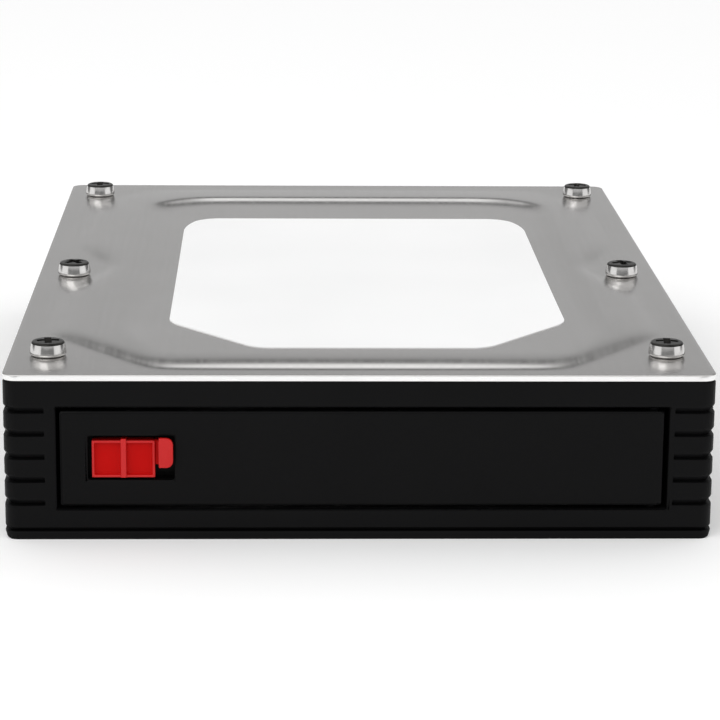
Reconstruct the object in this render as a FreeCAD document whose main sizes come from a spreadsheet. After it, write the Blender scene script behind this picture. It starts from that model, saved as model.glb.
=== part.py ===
# Adapter that carries a small drive in the space of a full-width one: a moulded tray with a
# stamped lid, a front frame with a hinged door and a sliding latch, rails for the small drive,
# and a circuit board that joins its connector to the one at the rear.
# X runs to the right seen from the front, Y from the front to the back, Z up, in millimetres.
# The origin lies under the middle of the whole part.

import FreeCAD, Part
import math
import os

import Sketcher
from FreeCAD import Vector

SIZES = {
    # Whole part
    "overall_width": 101.6,
    "body_length": 146.2,
    "cover_level": 24.2,
    "corner_radius": 2.0,
    "edge_radius": 0.2,
    "lower_round": 1.05,
    # Fits
    "seam_gap": 0.1,
    "moving_gap": 0.3,
    "slide_clearance": 0.2,
    "running_clearance": 0.05,
    "press_clearance": 0.02,
    "blind_allowance": 0.5,
    "overcut": 1.0,
    # Tray
    "floor_thickness": 1.2,
    "wall_thickness": 2.0,
    "boss_half": 2.9,
    "vent_width": 2.4,
    "vent_length": 26.0,
    "vent_pitch": 6.4,
    "vent_row_spacing": 54.0,
    "vent_setback": 38.0,
    "rear_vent_width": 2.0,
    "rear_vent_height": 11.0,
    "rear_vent_margin": 4.1,
    "rear_vent_inset": 8.0,
    # Standard mounting holes and their brass inserts
    "side_hole_height": 6.35,
    "side_hole_setback": 28.5,
    "side_hole_front": 16.1,
    "bottom_hole_inset": 3.175,
    "bottom_hole_setback": 41.28,
    "bottom_hole_spacing": 44.45,
    "thread_radius": 1.42,
    "insert_flat": 2.1,
    "insert_length": 4.6,
    "insert_boss_half": 3.1,
    # Front frame
    "bezel_depth": 7.0,
    "opening_inset": 7.1,
    "opening_shift": 0.45,
    "opening_height": 15.0,
    "opening_sill": 4.5,
    "shadow_gap": 0.55,
    "shadow_depth": 0.8,
    "groove_pitch": 3.41,
    "groove_rise": 1.2,
    "groove_depth": 0.7,
    "groove_exit": 0.2,
    "groove_reach": 5.9,
    "groove_height": 11.84,
    "core_wall": 2.0,
    # Door and its pin
    "door_gap": 0.6,
    "door_thickness": 2.2,
    "door_rib_depth": 2.4,
    "door_rib_width": 1.4,
    "door_nose": 1.1,
    "knuckle_radius": 1.6,
    "pin_radius": 0.8,
    # Latch
    "window_inset": 3.85,
    "window_width": 12.4,
    "window_rise": 3.7,
    "window_height": 6.6,
    "latch_travel": 1.9,
    "block_side_gap": 0.6,
    "block_base_gap": 0.2,
    "block_width": 9.75,
    "block_height": 5.7,
    "block_recess": 0.3,
    "block_border": 0.5,
    "block_rib_width": 0.87,
    "pad_recess": 0.5,
    "lip_proud": 0.8,
    "lip_thickness": 0.65,
    "lip_height": 4.7,
    "lip_reach": 1.95,
    "lip_stem": 0.2,
    "lip_round": 1.0,
    "lip_overlap": 0.5,
    "neck_width": 0.57,
    "flange_thickness": 1.1,
    "flange_margin": 0.7,
    "flange_tail": 3.7,
    "arm_width": 1.4,
    "arm_height": 3.4,
    "tongue_length": 3.2,
    "tongue_thickness": 1.2,
    "keeper_width": 2.0,
    "keeper_depth": 1.8,
    "keeper_gap": 0.4,
    "retainer_thickness": 1.0,
    "retainer_length": 17.2,
    "latch_guide_width": 2.0,
    "stake_length": 2.0,
    "stake_width": 1.0,
    "stake_inset": 2.0,
    # Stamped lid
    "sheet_thickness": 1.0,
    "plateau_height": 0.7,
    "plateau_slope": 3.4,
    "plateau_front": 6.0,
    "plateau_back": 6.0,
    "plateau_side": 5.4,
    "plateau_front_cut": 19.8,
    "plateau_front_rise": 26.9,
    "plateau_back_cut": 13.6,
    "plateau_back_rise": 15.4,
    "notch_middle": 1.8,
    "notch_depth": 5.5,
    "notch_length": 35.4,
    "notch_floor": 8.0,
    "plateau_round": 3.0,
    "dish_depth": 0.5,
    "dish_slope": 4.4,
    "dish_shift": 1.35,
    "dish_side": 14.75,
    "dish_front": 13.5,
    "dish_back": 15.2,
    "dish_front_cut": 5.1,
    "dish_front_rise": 13.9,
    "dish_back_cut": 7.7,
    "dish_back_rise": 8.5,
    # Sticker
    "label_side": 20.5,
    "label_shift": 2.0,
    "label_front": 15.7,
    "label_back": 33.9,
    "label_cut": 13.3,
    "label_cut_rise": 17.0,
    "label_back_cut": 5.3,
    "label_back_rise": 9.3,
    "label_thickness": 0.15,
    # Lid screws
    "screw_inset": 5.7,
    "screw_front": 12.3,
    "screw_middle": 6.5,
    "screw_back": 10.0,
    "screw_head_radius": 2.7,
    "screw_head_height": 1.9,
    "screw_radius": 1.5,
    "screw_length": 9.0,
    "screw_clearance": 0.2,
    "thread_clearance": 0.05,
    # Countersunk screws from below
    "flat_head_radius": 2.2,
    "flat_shank_radius": 1.2,
    "flat_screw_length": 6.5,
    "bezel_screw_inset": 3.8,
    "bezel_screw_setback": 3.6,
    # Small screws
    "small_head_radius": 1.9,
    "small_head_height": 1.3,
    "small_shank_radius": 0.9,
    "small_screw_length": 4.0,
    # Rails for the small drive
    "bay_width": 70.6,
    "bay_floor": 5.0,
    "rail_wall": 1.6,
    "rail_height": 18.0,
    "rail_setback": 9.5,
    "rail_back": 42.7,
    "ledge_width": 4.6,
    "ledge_thickness": 1.2,
    "foot_width": 4.4,
    "foot_height": 2.4,
    "foot_length": 10.0,
    "foot_setback": 21.5,
    "peg_width": 2.4,
    "peg_length": 6.0,
    "lead_length": 6.0,
    "lead_depth": 1.1,
    # Circuit board
    "board_left": -18.5,
    "board_right": 9.4,
    "board_front": 39.0,
    "board_back": 7.7,
    "board_level": 4.1,
    "board_thickness": 1.5,
    "board_post_half": 2.2,
    "board_screw_margin": 4.0,
    "board_screw_row": 23.5,
    # Connectors
    "receptacle_shift": 4.8,
    "receptacle_front": 45.3,
    "receptacle_width": 42.6,
    "receptacle_depth": 9.6,
    "receptacle_height": 5.8,
    "slot_depth": 5.5,
    "slot_height": 1.9,
    "plug_inset": 9.1,
    "plug_width": 42.0,
    "plug_base_depth": 4.8,
    "blade_length": 5.6,
    "blade_level": 2.9,
    "blade_thickness": 1.2,
    "blade_setback": 0.3,
    "key_height": 1.2,
    "key_width": 1.2,
    "signal_left": -16.7,
    "signal_right": -6.3,
    "power_left": -3.9,
    "power_right": 16.7,
    "guide_width": 2.4,
    "rear_notch_margin": 1.4,
    "rear_notch_height": 7.4,
    "rear_notch_depth": 8.5,
    "contact_pitch": 1.27,
    "contact_width": 0.7,
    "contact_thickness": 0.15,
    "contact_length": 4.4,
    "contact_setback": 1.0,
    # Capacitors
    "capacitor_length": 3.2,
    "capacitor_width": 1.6,
    "capacitor_height": 1.5,
    "capacitor_pitch": 6.0,
    "capacitor_gap": 3.0,
}

SIGNAL_CONTACTS = 7
POWER_CONTACTS = 15
GROOVES = 5
FEET = 2
THREAD_SIDES = 8
VENTS = 9
REAR_VENTS = 8
CAPACITORS = 5
SLOPE_STEPS = 3
# Turn of a stamped outline, in radians, under which its corner stays sharp
SLIGHT_TURN = 0.5
# Proportions of screw heads: straight side and recess depth to head height, crown and recess to radius
HEAD_SHOULDER = 0.5
HEAD_CROWN = 0.66
RECESS_DEPTH = 0.6
RECESS_WIDTH = 1.1
RECESS_ARM = 0.31
# How far the middle of a quarter turn lies from each of its tangents, for a radius of one
ARC_SAG = 1 - math.sqrt(0.5)

# Expressions for the levels and lines that several pieces share
SIDE = "sizes.overall_width / 2"
FACE = "(sizes.lip_proud - sizes.body_length) / 2"
REAR = "(sizes.lip_proud + sizes.body_length) / 2"
MIDDLE = "sizes.lip_proud / 2"
FLOOR = "sizes.floor_thickness"
WALL_TOP = "(sizes.cover_level - sizes.sheet_thickness)"
SEAM = f"({FACE} + sizes.bezel_depth)"
INSIDE = f"({SIDE} - sizes.wall_thickness)"
OPENING_LEFT = f"(sizes.opening_shift + sizes.opening_inset - {SIDE})"
OPENING_RIGHT = f"(sizes.opening_shift - sizes.opening_inset + {SIDE})"
LINTEL = "(sizes.opening_sill + sizes.opening_height)"
DOOR_LEFT = f"({OPENING_LEFT} + sizes.door_gap)"
DOOR_BASE = "(sizes.opening_sill + sizes.door_gap)"
DOOR_TOP = f"({LINTEL} - sizes.door_gap)"
DOOR_BACK = f"({FACE} + sizes.door_thickness)"
PIN_X = f"({OPENING_RIGHT} - sizes.door_gap - sizes.knuckle_radius)"
PIN_Y = f"({FACE} + sizes.knuckle_radius)"
WINDOW_LEFT = f"({DOOR_LEFT} + sizes.window_inset)"
WINDOW_RIGHT = f"({WINDOW_LEFT} + sizes.window_width)"
WINDOW_BASE = f"({DOOR_BASE} + sizes.window_rise)"
WINDOW_TOP = f"({WINDOW_BASE} + sizes.window_height)"
FLANGE_FRONT = f"({DOOR_BACK} + sizes.slide_clearance)"
FLANGE_BACK = f"({FLANGE_FRONT} + sizes.flange_thickness)"
FLANGE_LEFT = f"({WINDOW_LEFT} - sizes.flange_tail)"
FLANGE_RIGHT = f"({WINDOW_RIGHT} + sizes.keeper_gap)"
FLANGE_BASE = f"({WINDOW_BASE} - sizes.flange_margin)"
FLANGE_TOP = f"({WINDOW_TOP} + sizes.flange_margin)"
RETAINER_FRONT = f"({FLANGE_BACK} + sizes.slide_clearance)"
RETAINER_BACK = f"({RETAINER_FRONT} + sizes.retainer_thickness)"
KEEPER_LEFT = f"({FLANGE_LEFT} + sizes.arm_width + sizes.latch_travel + sizes.keeper_gap)"
KEEPER_FRONT = f"({RETAINER_BACK} + sizes.moving_gap)"
KEEPER_BACK = f"({KEEPER_FRONT} + sizes.keeper_depth)"
RETAINER_LEFT = KEEPER_LEFT
RETAINER_RIGHT = f"({RETAINER_LEFT} + sizes.retainer_length)"
GUIDE_BASE = f"({FLANGE_BASE} - sizes.slide_clearance - sizes.latch_guide_width / 2)"
GUIDE_TOP = f"({FLANGE_TOP} + sizes.slide_clearance + sizes.latch_guide_width / 2)"
TONGUE_FRONT = f"({KEEPER_BACK} + sizes.moving_gap)"
TONGUE_BACK = f"({TONGUE_FRONT} + sizes.tongue_thickness)"
RAIL_FRONT = f"({FACE} + sizes.rail_setback)"
RAIL_BACK = f"({REAR} - sizes.rail_back)"
BOARD_RIGHT = f"({SIDE} - sizes.board_right)"
BOARD_FRONT = f"({REAR} - sizes.board_front)"
BOARD_BACK = f"({REAR} - sizes.board_back)"
BOARD_TOP = "(sizes.board_level + sizes.board_thickness)"
RECEPTACLE_SHIFT = "sizes.receptacle_shift"
RECEPTACLE_FRONT = f"({REAR} - sizes.receptacle_front)"
PLUG_SHIFT = f"({SIDE} - sizes.plug_inset - sizes.plug_width / 2)"
PLUG_FRONT = f"({REAR} - sizes.blade_setback - sizes.blade_length - sizes.plug_base_depth)"
BLADE_FRONT = f"({PLUG_FRONT} + sizes.plug_base_depth)"
SCREW_ROWS = (f"({FACE} + sizes.screw_front)", f"({MIDDLE} - sizes.screw_middle)",
              f"({REAR} - sizes.screw_back)")
SIDES = ((-1, "left"), (1, "right"))

doc = FreeCAD.newDocument("drive_bay_adapter")
sheet = doc.addObject("Spreadsheet::Sheet", "sizes")
for row, (alias, value) in enumerate(SIZES.items(), start=1):
    sheet.set(f"A{row}", alias)
    sheet.set(f"B{row}", str(value))
    sheet.setAlias(f"B{row}", alias)
doc.recompute()

# Sketch planes: the origin plane's role and how a level along its axis becomes an offset
PLANES = {"XY": ("XY_Plane", "{}"), "XZ": ("XZ_Plane", "-({})"), "YZ": ("YZ_Plane", "{}")}
PAD_SIGN = {"XY": 1, "XZ": -1, "YZ": 1}


def number(expression):
    """Value of an expression over the sheet."""
    return float(sheet.evalExpression(expression))


def rectangle(x_low, y_low, x_high, y_high):
    """Corners of a rectangle as pairs of expressions."""
    return [(x_low, y_low), (x_high, y_low), (x_high, y_high), (x_low, y_high)]


def square(x, y, half):
    """Corners of a square about a point."""
    return rectangle(f"{x} - {half}", f"{y} - {half}", f"{x} + {half}", f"{y} + {half}")


def regular(x, y, reach, sides, start=0.0):
    """Corners of a regular outline about a point, the first one to its right or at a turn from there."""
    turns = [start + 2 * math.pi / sides * index for index in range(sides)]
    return [(f"{x} + ({reach}) * {math.cos(turn):.6f}", f"{y} + ({reach}) * {math.sin(turn):.6f}")
            for turn in turns]


def hexagon(x, y, flat):
    """Corners of a hexagon about a point, with its flats left and right and their distance from it."""
    return regular(x, y, f"({flat}) / {math.cos(math.pi / 6)}", 6, math.pi / 2)


def thread_holes(places, radius):
    """Outlines of the holes that a screw cuts its thread in."""
    reach = f"{radius} + sizes.thread_clearance"
    return [regular(x, y, reach, THREAD_SIDES) for x, y in places]


def mirrored(corners):
    """The same corners on the other side of the middle."""
    return [(f"-({x})", y) for x, y in corners]


def draw(body, name, plane, level, shapes):
    """Sketch on one of the body's own planes, each corner and circle bound to the sheet.

    A shape is either a list of corners (x, y) or one circle (x, y, radius).
    """
    role, offset = PLANES[plane]
    sketch = body.newObject("Sketcher::SketchObject", f"{name}_sketch")
    support = next(item for item in body.Origin.OriginFeatures if item.Role == role)
    sketch.AttachmentSupport = (support, [""])
    sketch.MapMode = "FlatFace"
    sketch.setExpression("AttachmentOffset.Base.z", offset.format(level))
    for shape in shapes:
        if isinstance(shape, tuple):
            draw_circle(sketch, *shape)
        else:
            draw_outline(sketch, shape)
    return sketch


def bind(sketch, kind, element, expression):
    """Constraint from the sketch's origin, or on a size, whose value is an expression."""
    constraint = Sketcher.Constraint(kind, *element, number(expression))
    index = sketch.addConstraint(constraint)
    sketch.setExpression(f"Constraints[{index}]", expression)


def draw_outline(sketch, corners):
    """Closed outline of straight lines."""
    first = sketch.GeometryCount
    points = [Vector(number(x), number(y), 0) for x, y in corners]
    count = len(points)
    for index, point in enumerate(points):
        sketch.addGeometry(Part.LineSegment(point, points[(index + 1) % count]))
    for index in range(count):
        following = first + (index + 1) % count
        sketch.addConstraint(Sketcher.Constraint("Coincident", first + index, 2, following, 1))
    for index, (x, y) in enumerate(corners):
        bind(sketch, "DistanceX", (-1, 1, first + index, 1), x)
        bind(sketch, "DistanceY", (-1, 1, first + index, 1), y)


def draw_circle(sketch, x, y, radius):
    """Circle bound by its centre and radius."""
    centre = Vector(number(x), number(y), 0)
    index = sketch.addGeometry(Part.Circle(centre, Vector(0, 0, 1), number(radius)))
    bind(sketch, "DistanceX", (-1, 1, index, 3), x)
    bind(sketch, "DistanceY", (-1, 1, index, 3), y)
    bind(sketch, "Radius", (index,), radius)


def pad(body, name, plane, level, shapes, length, toward=1):
    """Material from a level, toward the plus or minus end of the plane's axis."""
    sketch = draw(body, name, plane, level, shapes)
    feature = body.newObject("PartDesign::Pad", name)
    feature.Profile = sketch
    feature.setExpression("Length", length)
    feature.Reversed = toward != PAD_SIGN[plane]
    doc.recompute()
    return feature


def pocket(body, name, plane, level, shapes, length, toward=1):
    """Cut from a level, toward the plus or minus end of the plane's axis."""
    before = body.Shape.Volume
    sketch = draw(body, name, plane, level, shapes)
    feature = body.newObject("PartDesign::Pocket", name)
    feature.Profile = sketch
    feature.setExpression("Length", length)
    feature.Reversed = toward == PAD_SIGN[plane]
    doc.recompute()
    if body.Shape.Volume >= before:
        raise ValueError(f"{body.Label}: {name} cuts nothing")
    return feature


def tapered_pocket(body, name, plane, levels, outlines):
    """Cut that changes from one outline to another with as many corners between two levels."""
    before = body.Shape.Volume
    sketches = [draw(body, f"{name}_{end}", plane, level, [outline])
                for end, level, outline in zip(("start", "end"), levels, outlines)]
    doc.recompute()
    feature = body.newObject("PartDesign::SubtractiveLoft", name)
    feature.Profile = sketches[0]
    feature.Sections = [(sketches[1], [""])]
    feature.Ruled = True
    doc.recompute()
    if body.Shape.Volume >= before:
        raise ValueError(f"{body.Label}: {name} cuts nothing")
    return feature


def repeat(body, feature, axis, spacing, count):
    """Row of copies of a feature along one of the body's own axes."""
    row = body.newObject("PartDesign::LinearPattern", f"{feature.Name}_row")
    row.Originals = [feature]
    row.Direction = (next(item for item in body.Origin.OriginFeatures if item.Role == axis), [""])
    row.setExpression("Length", f"{spacing} * {count - 1}")
    row.Occurrences = count
    body.Tip = row
    doc.recompute()
    return row


def upright(edge):
    """Whether an edge is straight and parallel to Z."""
    ends = [vertex.Point for vertex in edge.Vertexes]
    return len(ends) == 2 and (ends[1] - ends[0]).cross(Vector(0, 0, 1)).Length < 1e-6


def dress(body, name, kind, size, value, keep):
    """Fillet or chamfer on those edges of the body so far that a test keeps."""
    picked = [f"Edge{index}" for index, edge in enumerate(body.Shape.Edges, 1) if keep(edge)]
    base = body.Tip
    feature = body.newObject(kind, name)
    feature.Base = (base, picked)
    feature.setExpression(size, value)
    body.Tip = feature
    doc.recompute()
    return feature


def rounded(body, name, radius, keep):
    """Round the edges that a test keeps."""
    return dress(body, name, "PartDesign::Fillet", "Radius", radius, keep)


def bevelled(body, name, width, keep):
    """Break the edges that a test keeps."""
    return dress(body, name, "PartDesign::Chamfer", "Size", width, keep)


def new_body(label):
    """Empty body named after its node."""
    body = doc.addObject("PartDesign::Body", label)
    body.Label = label
    return body


def rod(name, radius, x, y, z):
    """Upright cylinder between two levels."""
    cylinder = doc.addObject("Part::Cylinder", name)
    cylinder.setExpression("Radius", radius)
    cylinder.setExpression("Height", f"({z[1]}) - ({z[0]})")
    for axis, place in zip("xyz", (x, y, z[0])):
        cylinder.setExpression(f"Placement.Base.{axis}", place)
    return cylinder


def fuse(name, shapes):
    """Union of objects."""
    union = doc.addObject("Part::MultiFuse", name)
    union.Shapes = shapes
    union.Refine = True
    return union


def cut(name, base, tool):
    """Base with the tool taken away."""
    difference = doc.addObject("Part::Cut", name)
    difference.Base = base
    difference.Tool = tool
    return difference


def group(label, shapes):
    """One node of several separate solids."""
    feature = doc.addObject("Part::Feature", label)
    feature.Shape = Part.makeCompound(shapes)
    feature.Placement = FreeCAD.Placement()
    return feature


def along_y(edge):
    """Whether an edge is straight and parallel to Y."""
    ends = [vertex.Point for vertex in edge.Vertexes]
    return len(ends) == 2 and (ends[1] - ends[0]).cross(Vector(0, 1, 0)).Length < 1e-6


def at_side(edge, x):
    """Whether an edge starts at a place along X."""
    return abs(edge.Vertexes[0].Point.x - number(x)) < 1e-4


def at_corner(edge, x, y):
    """Whether an upright edge stands at a place in plan, on either side of the middle."""
    point = edge.Vertexes[0].Point
    return abs(abs(point.x) - number(x)) < 1e-4 and abs(point.y - number(y)) < 1e-4


def lid_screw_places():
    """Plan positions of the lid screws as pairs of expressions."""
    x = f"({SIDE} - sizes.screw_inset)"
    return [(f"{sign} * {x}", y) for y in SCREW_ROWS for sign, _ in SIDES]


def bottom_hole_places():
    """Plan positions of the threaded holes underneath."""
    x = f"({SIDE} - sizes.bottom_hole_inset)"
    rows = (f"({REAR} - sizes.bottom_hole_setback)",
            f"({REAR} - sizes.bottom_hole_setback - sizes.bottom_hole_spacing)")
    return [(f"{sign} * {x}", y) for y in rows for sign, _ in SIDES]


def side_hole_rows():
    """Positions along Y of the threaded holes in each side."""
    return (f"({REAR} - sizes.side_hole_setback)", f"({FACE} + sizes.side_hole_front)")


def rail_foot_rows():
    """Middles of the rail feet along Y."""
    first = f"({RAIL_FRONT} + sizes.foot_setback)"
    spacing = f"({RAIL_BACK} - sizes.foot_setback - {first}) / {FEET - 1}"
    return [f"({first} + {index} * {spacing})" for index in range(FEET)]


def rail_pegs(clearance):
    """Outlines of the pegs under the right rail's feet, wider by a clearance all round."""
    middle = "(sizes.bay_width / 2 + sizes.rail_wall + sizes.foot_width / 2)"
    across = f"(sizes.peg_width / 2 + {clearance})"
    along = f"(sizes.peg_length / 2 + {clearance})"
    return [rectangle(f"{middle} - {across}", f"{y} - {along}", f"{middle} + {across}", f"{y} + {along}")
            for y in rail_foot_rows()]


def bezel_screw_places():
    """Plan positions of the countersunk screws that hold the bezel."""
    x = f"({SIDE} - sizes.bezel_screw_inset)"
    y = f"({FACE} + sizes.bezel_screw_setback)"
    return [(f"{sign} * {x}", y) for sign, _ in SIDES]


def retainer_stakes(clearance):
    """Outlines of the door's stakes through the retainer, wider by a clearance all round."""
    across = f"(sizes.stake_length / 2 + {clearance})"
    along = f"(sizes.stake_width / 2 + {clearance})"
    return [rectangle(f"{x} - {across}", f"{z} - {along}", f"{x} + {across}", f"{z} + {along}")
            for x in (f"({RETAINER_LEFT} + sizes.stake_inset)", f"({RETAINER_RIGHT} - sizes.stake_inset)")
            for z in (GUIDE_BASE, GUIDE_TOP)]


def board_screw_places():
    """Plan positions of the two screws through the circuit board."""
    y = f"({REAR} - sizes.board_screw_row)"
    return [("(sizes.board_left + sizes.board_screw_margin)", y),
            (f"({BOARD_RIGHT} - sizes.board_screw_margin)", y)]


def make_tray():
    """Moulded tray: floor, three walls, bosses, posts, vents and holes."""
    body = new_body("base_tray")
    wall_height = f"{WALL_TOP} - {FLOOR}"
    pad(body, "floor", "XY", "0", [rectangle(f"-{SIDE}", FACE, SIDE, REAR)], FLOOR)
    wall_front = f"({SEAM} + sizes.seam_gap)"
    wall_inside = f"({REAR} - sizes.wall_thickness)"
    half = [(SIDE, REAR), (SIDE, wall_front), (INSIDE, wall_front), (INSIDE, wall_inside)]
    pad(body, "walls", "XY", FLOOR, [half + mirrored(half)[::-1]], wall_height)
    rounded(body, "corners", "sizes.corner_radius",
            lambda edge: upright(edge) and (at_corner(edge, SIDE, FACE) or at_corner(edge, SIDE, REAR)))
    pillar_side = f"({SIDE} - sizes.wall_thickness / 2)"
    pillar_inside = f"({SIDE} - sizes.screw_inset - sizes.boss_half)"
    pillars = []
    for y in SCREW_ROWS:
        pillar = rectangle(pillar_inside, f"{y} - sizes.boss_half", pillar_side, f"{y} + sizes.boss_half")
        pillars += [pillar, mirrored(pillar)]
    pad(body, "pillars", "XY", FLOOR, pillars, wall_height)
    boss_height = "sizes.insert_length + sizes.wall_thickness"
    low_bosses = [square(x, y, "sizes.insert_boss_half") for x, y in bottom_hole_places()]
    pad(body, "bottom_bosses", "XY", "0", low_bosses, boss_height)
    side_bosses = [square(y, "sizes.side_hole_height", "sizes.insert_boss_half") for y in side_hole_rows()]
    for sign, side in SIDES:
        start = f"{sign} * ({SIDE} - sizes.seam_gap)"
        pad(body, f"{side}_bosses", "YZ", start, side_bosses, boss_height, -sign)
    posts = [square(x, y, "sizes.board_post_half") for x, y in board_screw_places()]
    pad(body, "board_posts", "XY", FLOOR, posts, f"sizes.board_level - {FLOOR}")
    lower = "sizes.lower_round"
    edge = [(f"{SIDE} - {lower}", "-sizes.overcut"), (f"{SIDE} + sizes.overcut", "-sizes.overcut"),
            (f"{SIDE} + sizes.overcut", lower), (SIDE, lower),
            (f"{SIDE} - {ARC_SAG} * {lower}", f"{ARC_SAG} * {lower}"), (f"{SIDE} - {lower}", "0")]
    pocket(body, "lower_edges", "XZ", FACE, [edge, mirrored(edge)], "sizes.body_length")

    pilots = thread_holes(lid_screw_places(), "sizes.screw_radius")
    pocket(body, "pilots", "XY", WALL_TOP, pilots, "sizes.screw_length + sizes.blind_allowance", -1)
    flat = "sizes.insert_flat + sizes.press_clearance"
    inserts = [hexagon(x, y, flat) for x, y in bottom_hole_places()]
    pocket(body, "bottom_holes", "XY", "0", inserts, "sizes.insert_length", 1)
    inserts = [hexagon(y, "sizes.side_hole_height", flat) for y in side_hole_rows()]
    for sign, side in SIDES:
        pocket(body, f"{side}_holes", "YZ", f"{sign} * {SIDE}", inserts, "sizes.insert_length", -sign)
    small = thread_holes(board_screw_places(), "sizes.small_shank_radius")
    pocket(body, "post_pilots", "XY", "sizes.board_level", small, f"sizes.board_level - {FLOOR}", -1)

    notch_half = "(sizes.plug_width / 2 + sizes.rear_notch_margin)"
    notch = (f"({PLUG_SHIFT} - {notch_half})", f"({PLUG_SHIFT} + {notch_half})")
    pocket(body, "rear_notch", "XY", "0",
           [rectangle(notch[0], f"{REAR} - sizes.rear_notch_depth", notch[1], f"{REAR} + sizes.overcut")],
           "sizes.rear_notch_height", 1)
    slot = rectangle(f"-sizes.vent_pitch * {(VENTS - 1) / 2} - sizes.vent_width / 2",
                     f"{RAIL_FRONT} + sizes.vent_setback - sizes.vent_length",
                     f"-sizes.vent_pitch * {(VENTS - 1) / 2} + sizes.vent_width / 2",
                     f"{RAIL_FRONT} + sizes.vent_setback")
    behind = [(x, f"{y} + sizes.vent_row_spacing") for x, y in slot]
    vents = pocket(body, "vents", "XY", "0", [slot, behind], FLOOR, 1)
    repeat(body, vents, "X_Axis", "sizes.vent_pitch", VENTS)
    low = f"({WALL_TOP} + {FLOOR} - sizes.rear_vent_height) / 2"
    first = f"(sizes.rear_vent_inset - {SIDE})"
    last = f"({notch[0]} - sizes.rear_vent_margin - sizes.rear_vent_width)"
    rear_slot = rectangle(first, low, f"{first} + sizes.rear_vent_width", f"{low} + sizes.rear_vent_height")
    rear_vents = pocket(body, "rear_vents", "XZ", REAR, [rear_slot], "sizes.wall_thickness", -1)
    repeat(body, rear_vents, "X_Axis", f"({last} - {first}) / {REAR_VENTS - 1}", REAR_VENTS)
    pegs = rail_pegs("sizes.running_clearance")
    pocket(body, "peg_holes", "XY", "0", pegs + [mirrored(peg) for peg in pegs], FLOOR, 1)
    countersink(body)
    return body


def countersink(body):
    """Countersunk holes in the floor for the screws from below."""
    before = body.Shape.Volume
    holes = [(x, y, "sizes.flat_shank_radius") for x, y in bezel_screw_places()]
    sketch = draw(body, "countersinks", "XY", "0", holes)
    doc.recompute()
    hole = body.newObject("PartDesign::Hole", "countersinks")
    hole.Profile = sketch
    doc.recompute()
    hole.DepthType = "Dimension"
    hole.setExpression("Depth", FLOOR)
    hole.DrillPoint = "Flat"
    hole.setExpression("Diameter", "2 * (sizes.flat_shank_radius + sizes.thread_clearance)")
    hole.HoleCutType = "Countersink"
    hole.HoleCutCustomValues = True
    hole.setExpression("HoleCutDiameter", "2 * (sizes.flat_head_radius + sizes.thread_clearance)")
    hole.HoleCutCountersinkAngle = 90
    hole.Reversed = True
    doc.recompute()
    if body.Shape.Volume >= before:
        raise ValueError("the countersunk holes cut nothing")


def make_bezel():
    """Moulded front frame with grip grooves, pin bores and the latch's keeper."""
    body = new_body("front_bezel")
    pad(body, "frame", "XZ", FACE, [rectangle(f"-{SIDE}", FLOOR, SIDE, WALL_TOP)], "sizes.bezel_depth")
    pocket(body, "opening", "XZ", FACE,
           [rectangle(OPENING_LEFT, "sizes.opening_sill", OPENING_RIGHT, LINTEL)], "sizes.bezel_depth")
    rounded(body, "corners", "sizes.corner_radius",
            lambda edge: upright(edge) and at_corner(edge, SIDE, FACE))
    bevelled(body, "front_edges", "sizes.edge_radius", lambda edge: on_front(edge, FACE))

    back = f"({SEAM} + sizes.overcut)"
    wide = f"({SIDE} + sizes.overcut)"
    front = f"({FACE} - sizes.overcut)"
    inner = f"({SIDE} - sizes.shadow_depth)"
    band = [(wide, back), (wide, front), (f"-({wide})", front), (f"-({wide})", back),
            (f"-({inner})", back), (f"-({inner})", f"{FACE} + sizes.shadow_depth"),
            (inner, f"{FACE} + sizes.shadow_depth"), (inner, back)]
    pocket(body, "shadow_line", "XY", FLOOR, [band], "sizes.shadow_gap")

    ledge = f"(sizes.groove_height - {(GROOVES - 1) / 2} * sizes.groove_pitch)"
    levels = (ledge, f"{ledge} + sizes.groove_rise")
    grips = [grip_outline("sizes.groove_depth"), grip_outline("-sizes.groove_exit")]
    for sign, side in SIDES:
        ends = grips if sign > 0 else [mirrored(grip) for grip in grips]
        groove = tapered_pocket(body, f"{side}_groove", "XY", levels, ends)
        repeat(body, groove, "Z_Axis", "sizes.groove_pitch", GROOVES)

    bore = [(PIN_X, PIN_Y, "sizes.pin_radius + sizes.press_clearance")]
    pocket(body, "upper_bore", "XY", WALL_TOP, bore, f"{WALL_TOP} - {LINTEL}", -1)
    pocket(body, "lower_bore", "XY", "sizes.opening_sill", bore, "sizes.opening_sill / 2", -1)
    screws = thread_holes(bezel_screw_places(), "sizes.flat_shank_radius")
    pocket(body, "screw_pilots", "XY", FLOOR, screws,
           f"sizes.flat_screw_length - {FLOOR} + sizes.blind_allowance")
    core = rectangle(f"{OPENING_RIGHT} + sizes.core_wall", "sizes.flat_screw_length + sizes.core_wall",
                     f"{SIDE} - sizes.core_wall", f"{WALL_TOP} - sizes.core_wall")
    pocket(body, "cores", "XZ", SEAM, [core, mirrored(core)], "sizes.bezel_depth - 2 * sizes.core_wall", -1)
    keeper = rectangle(KEEPER_LEFT, KEEPER_FRONT, f"{KEEPER_LEFT} + sizes.keeper_width", KEEPER_BACK)
    pad(body, "keeper", "XY", LINTEL, [keeper], f"{LINTEL} - {FLANGE_TOP} + sizes.arm_height", -1)
    return body


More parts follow.
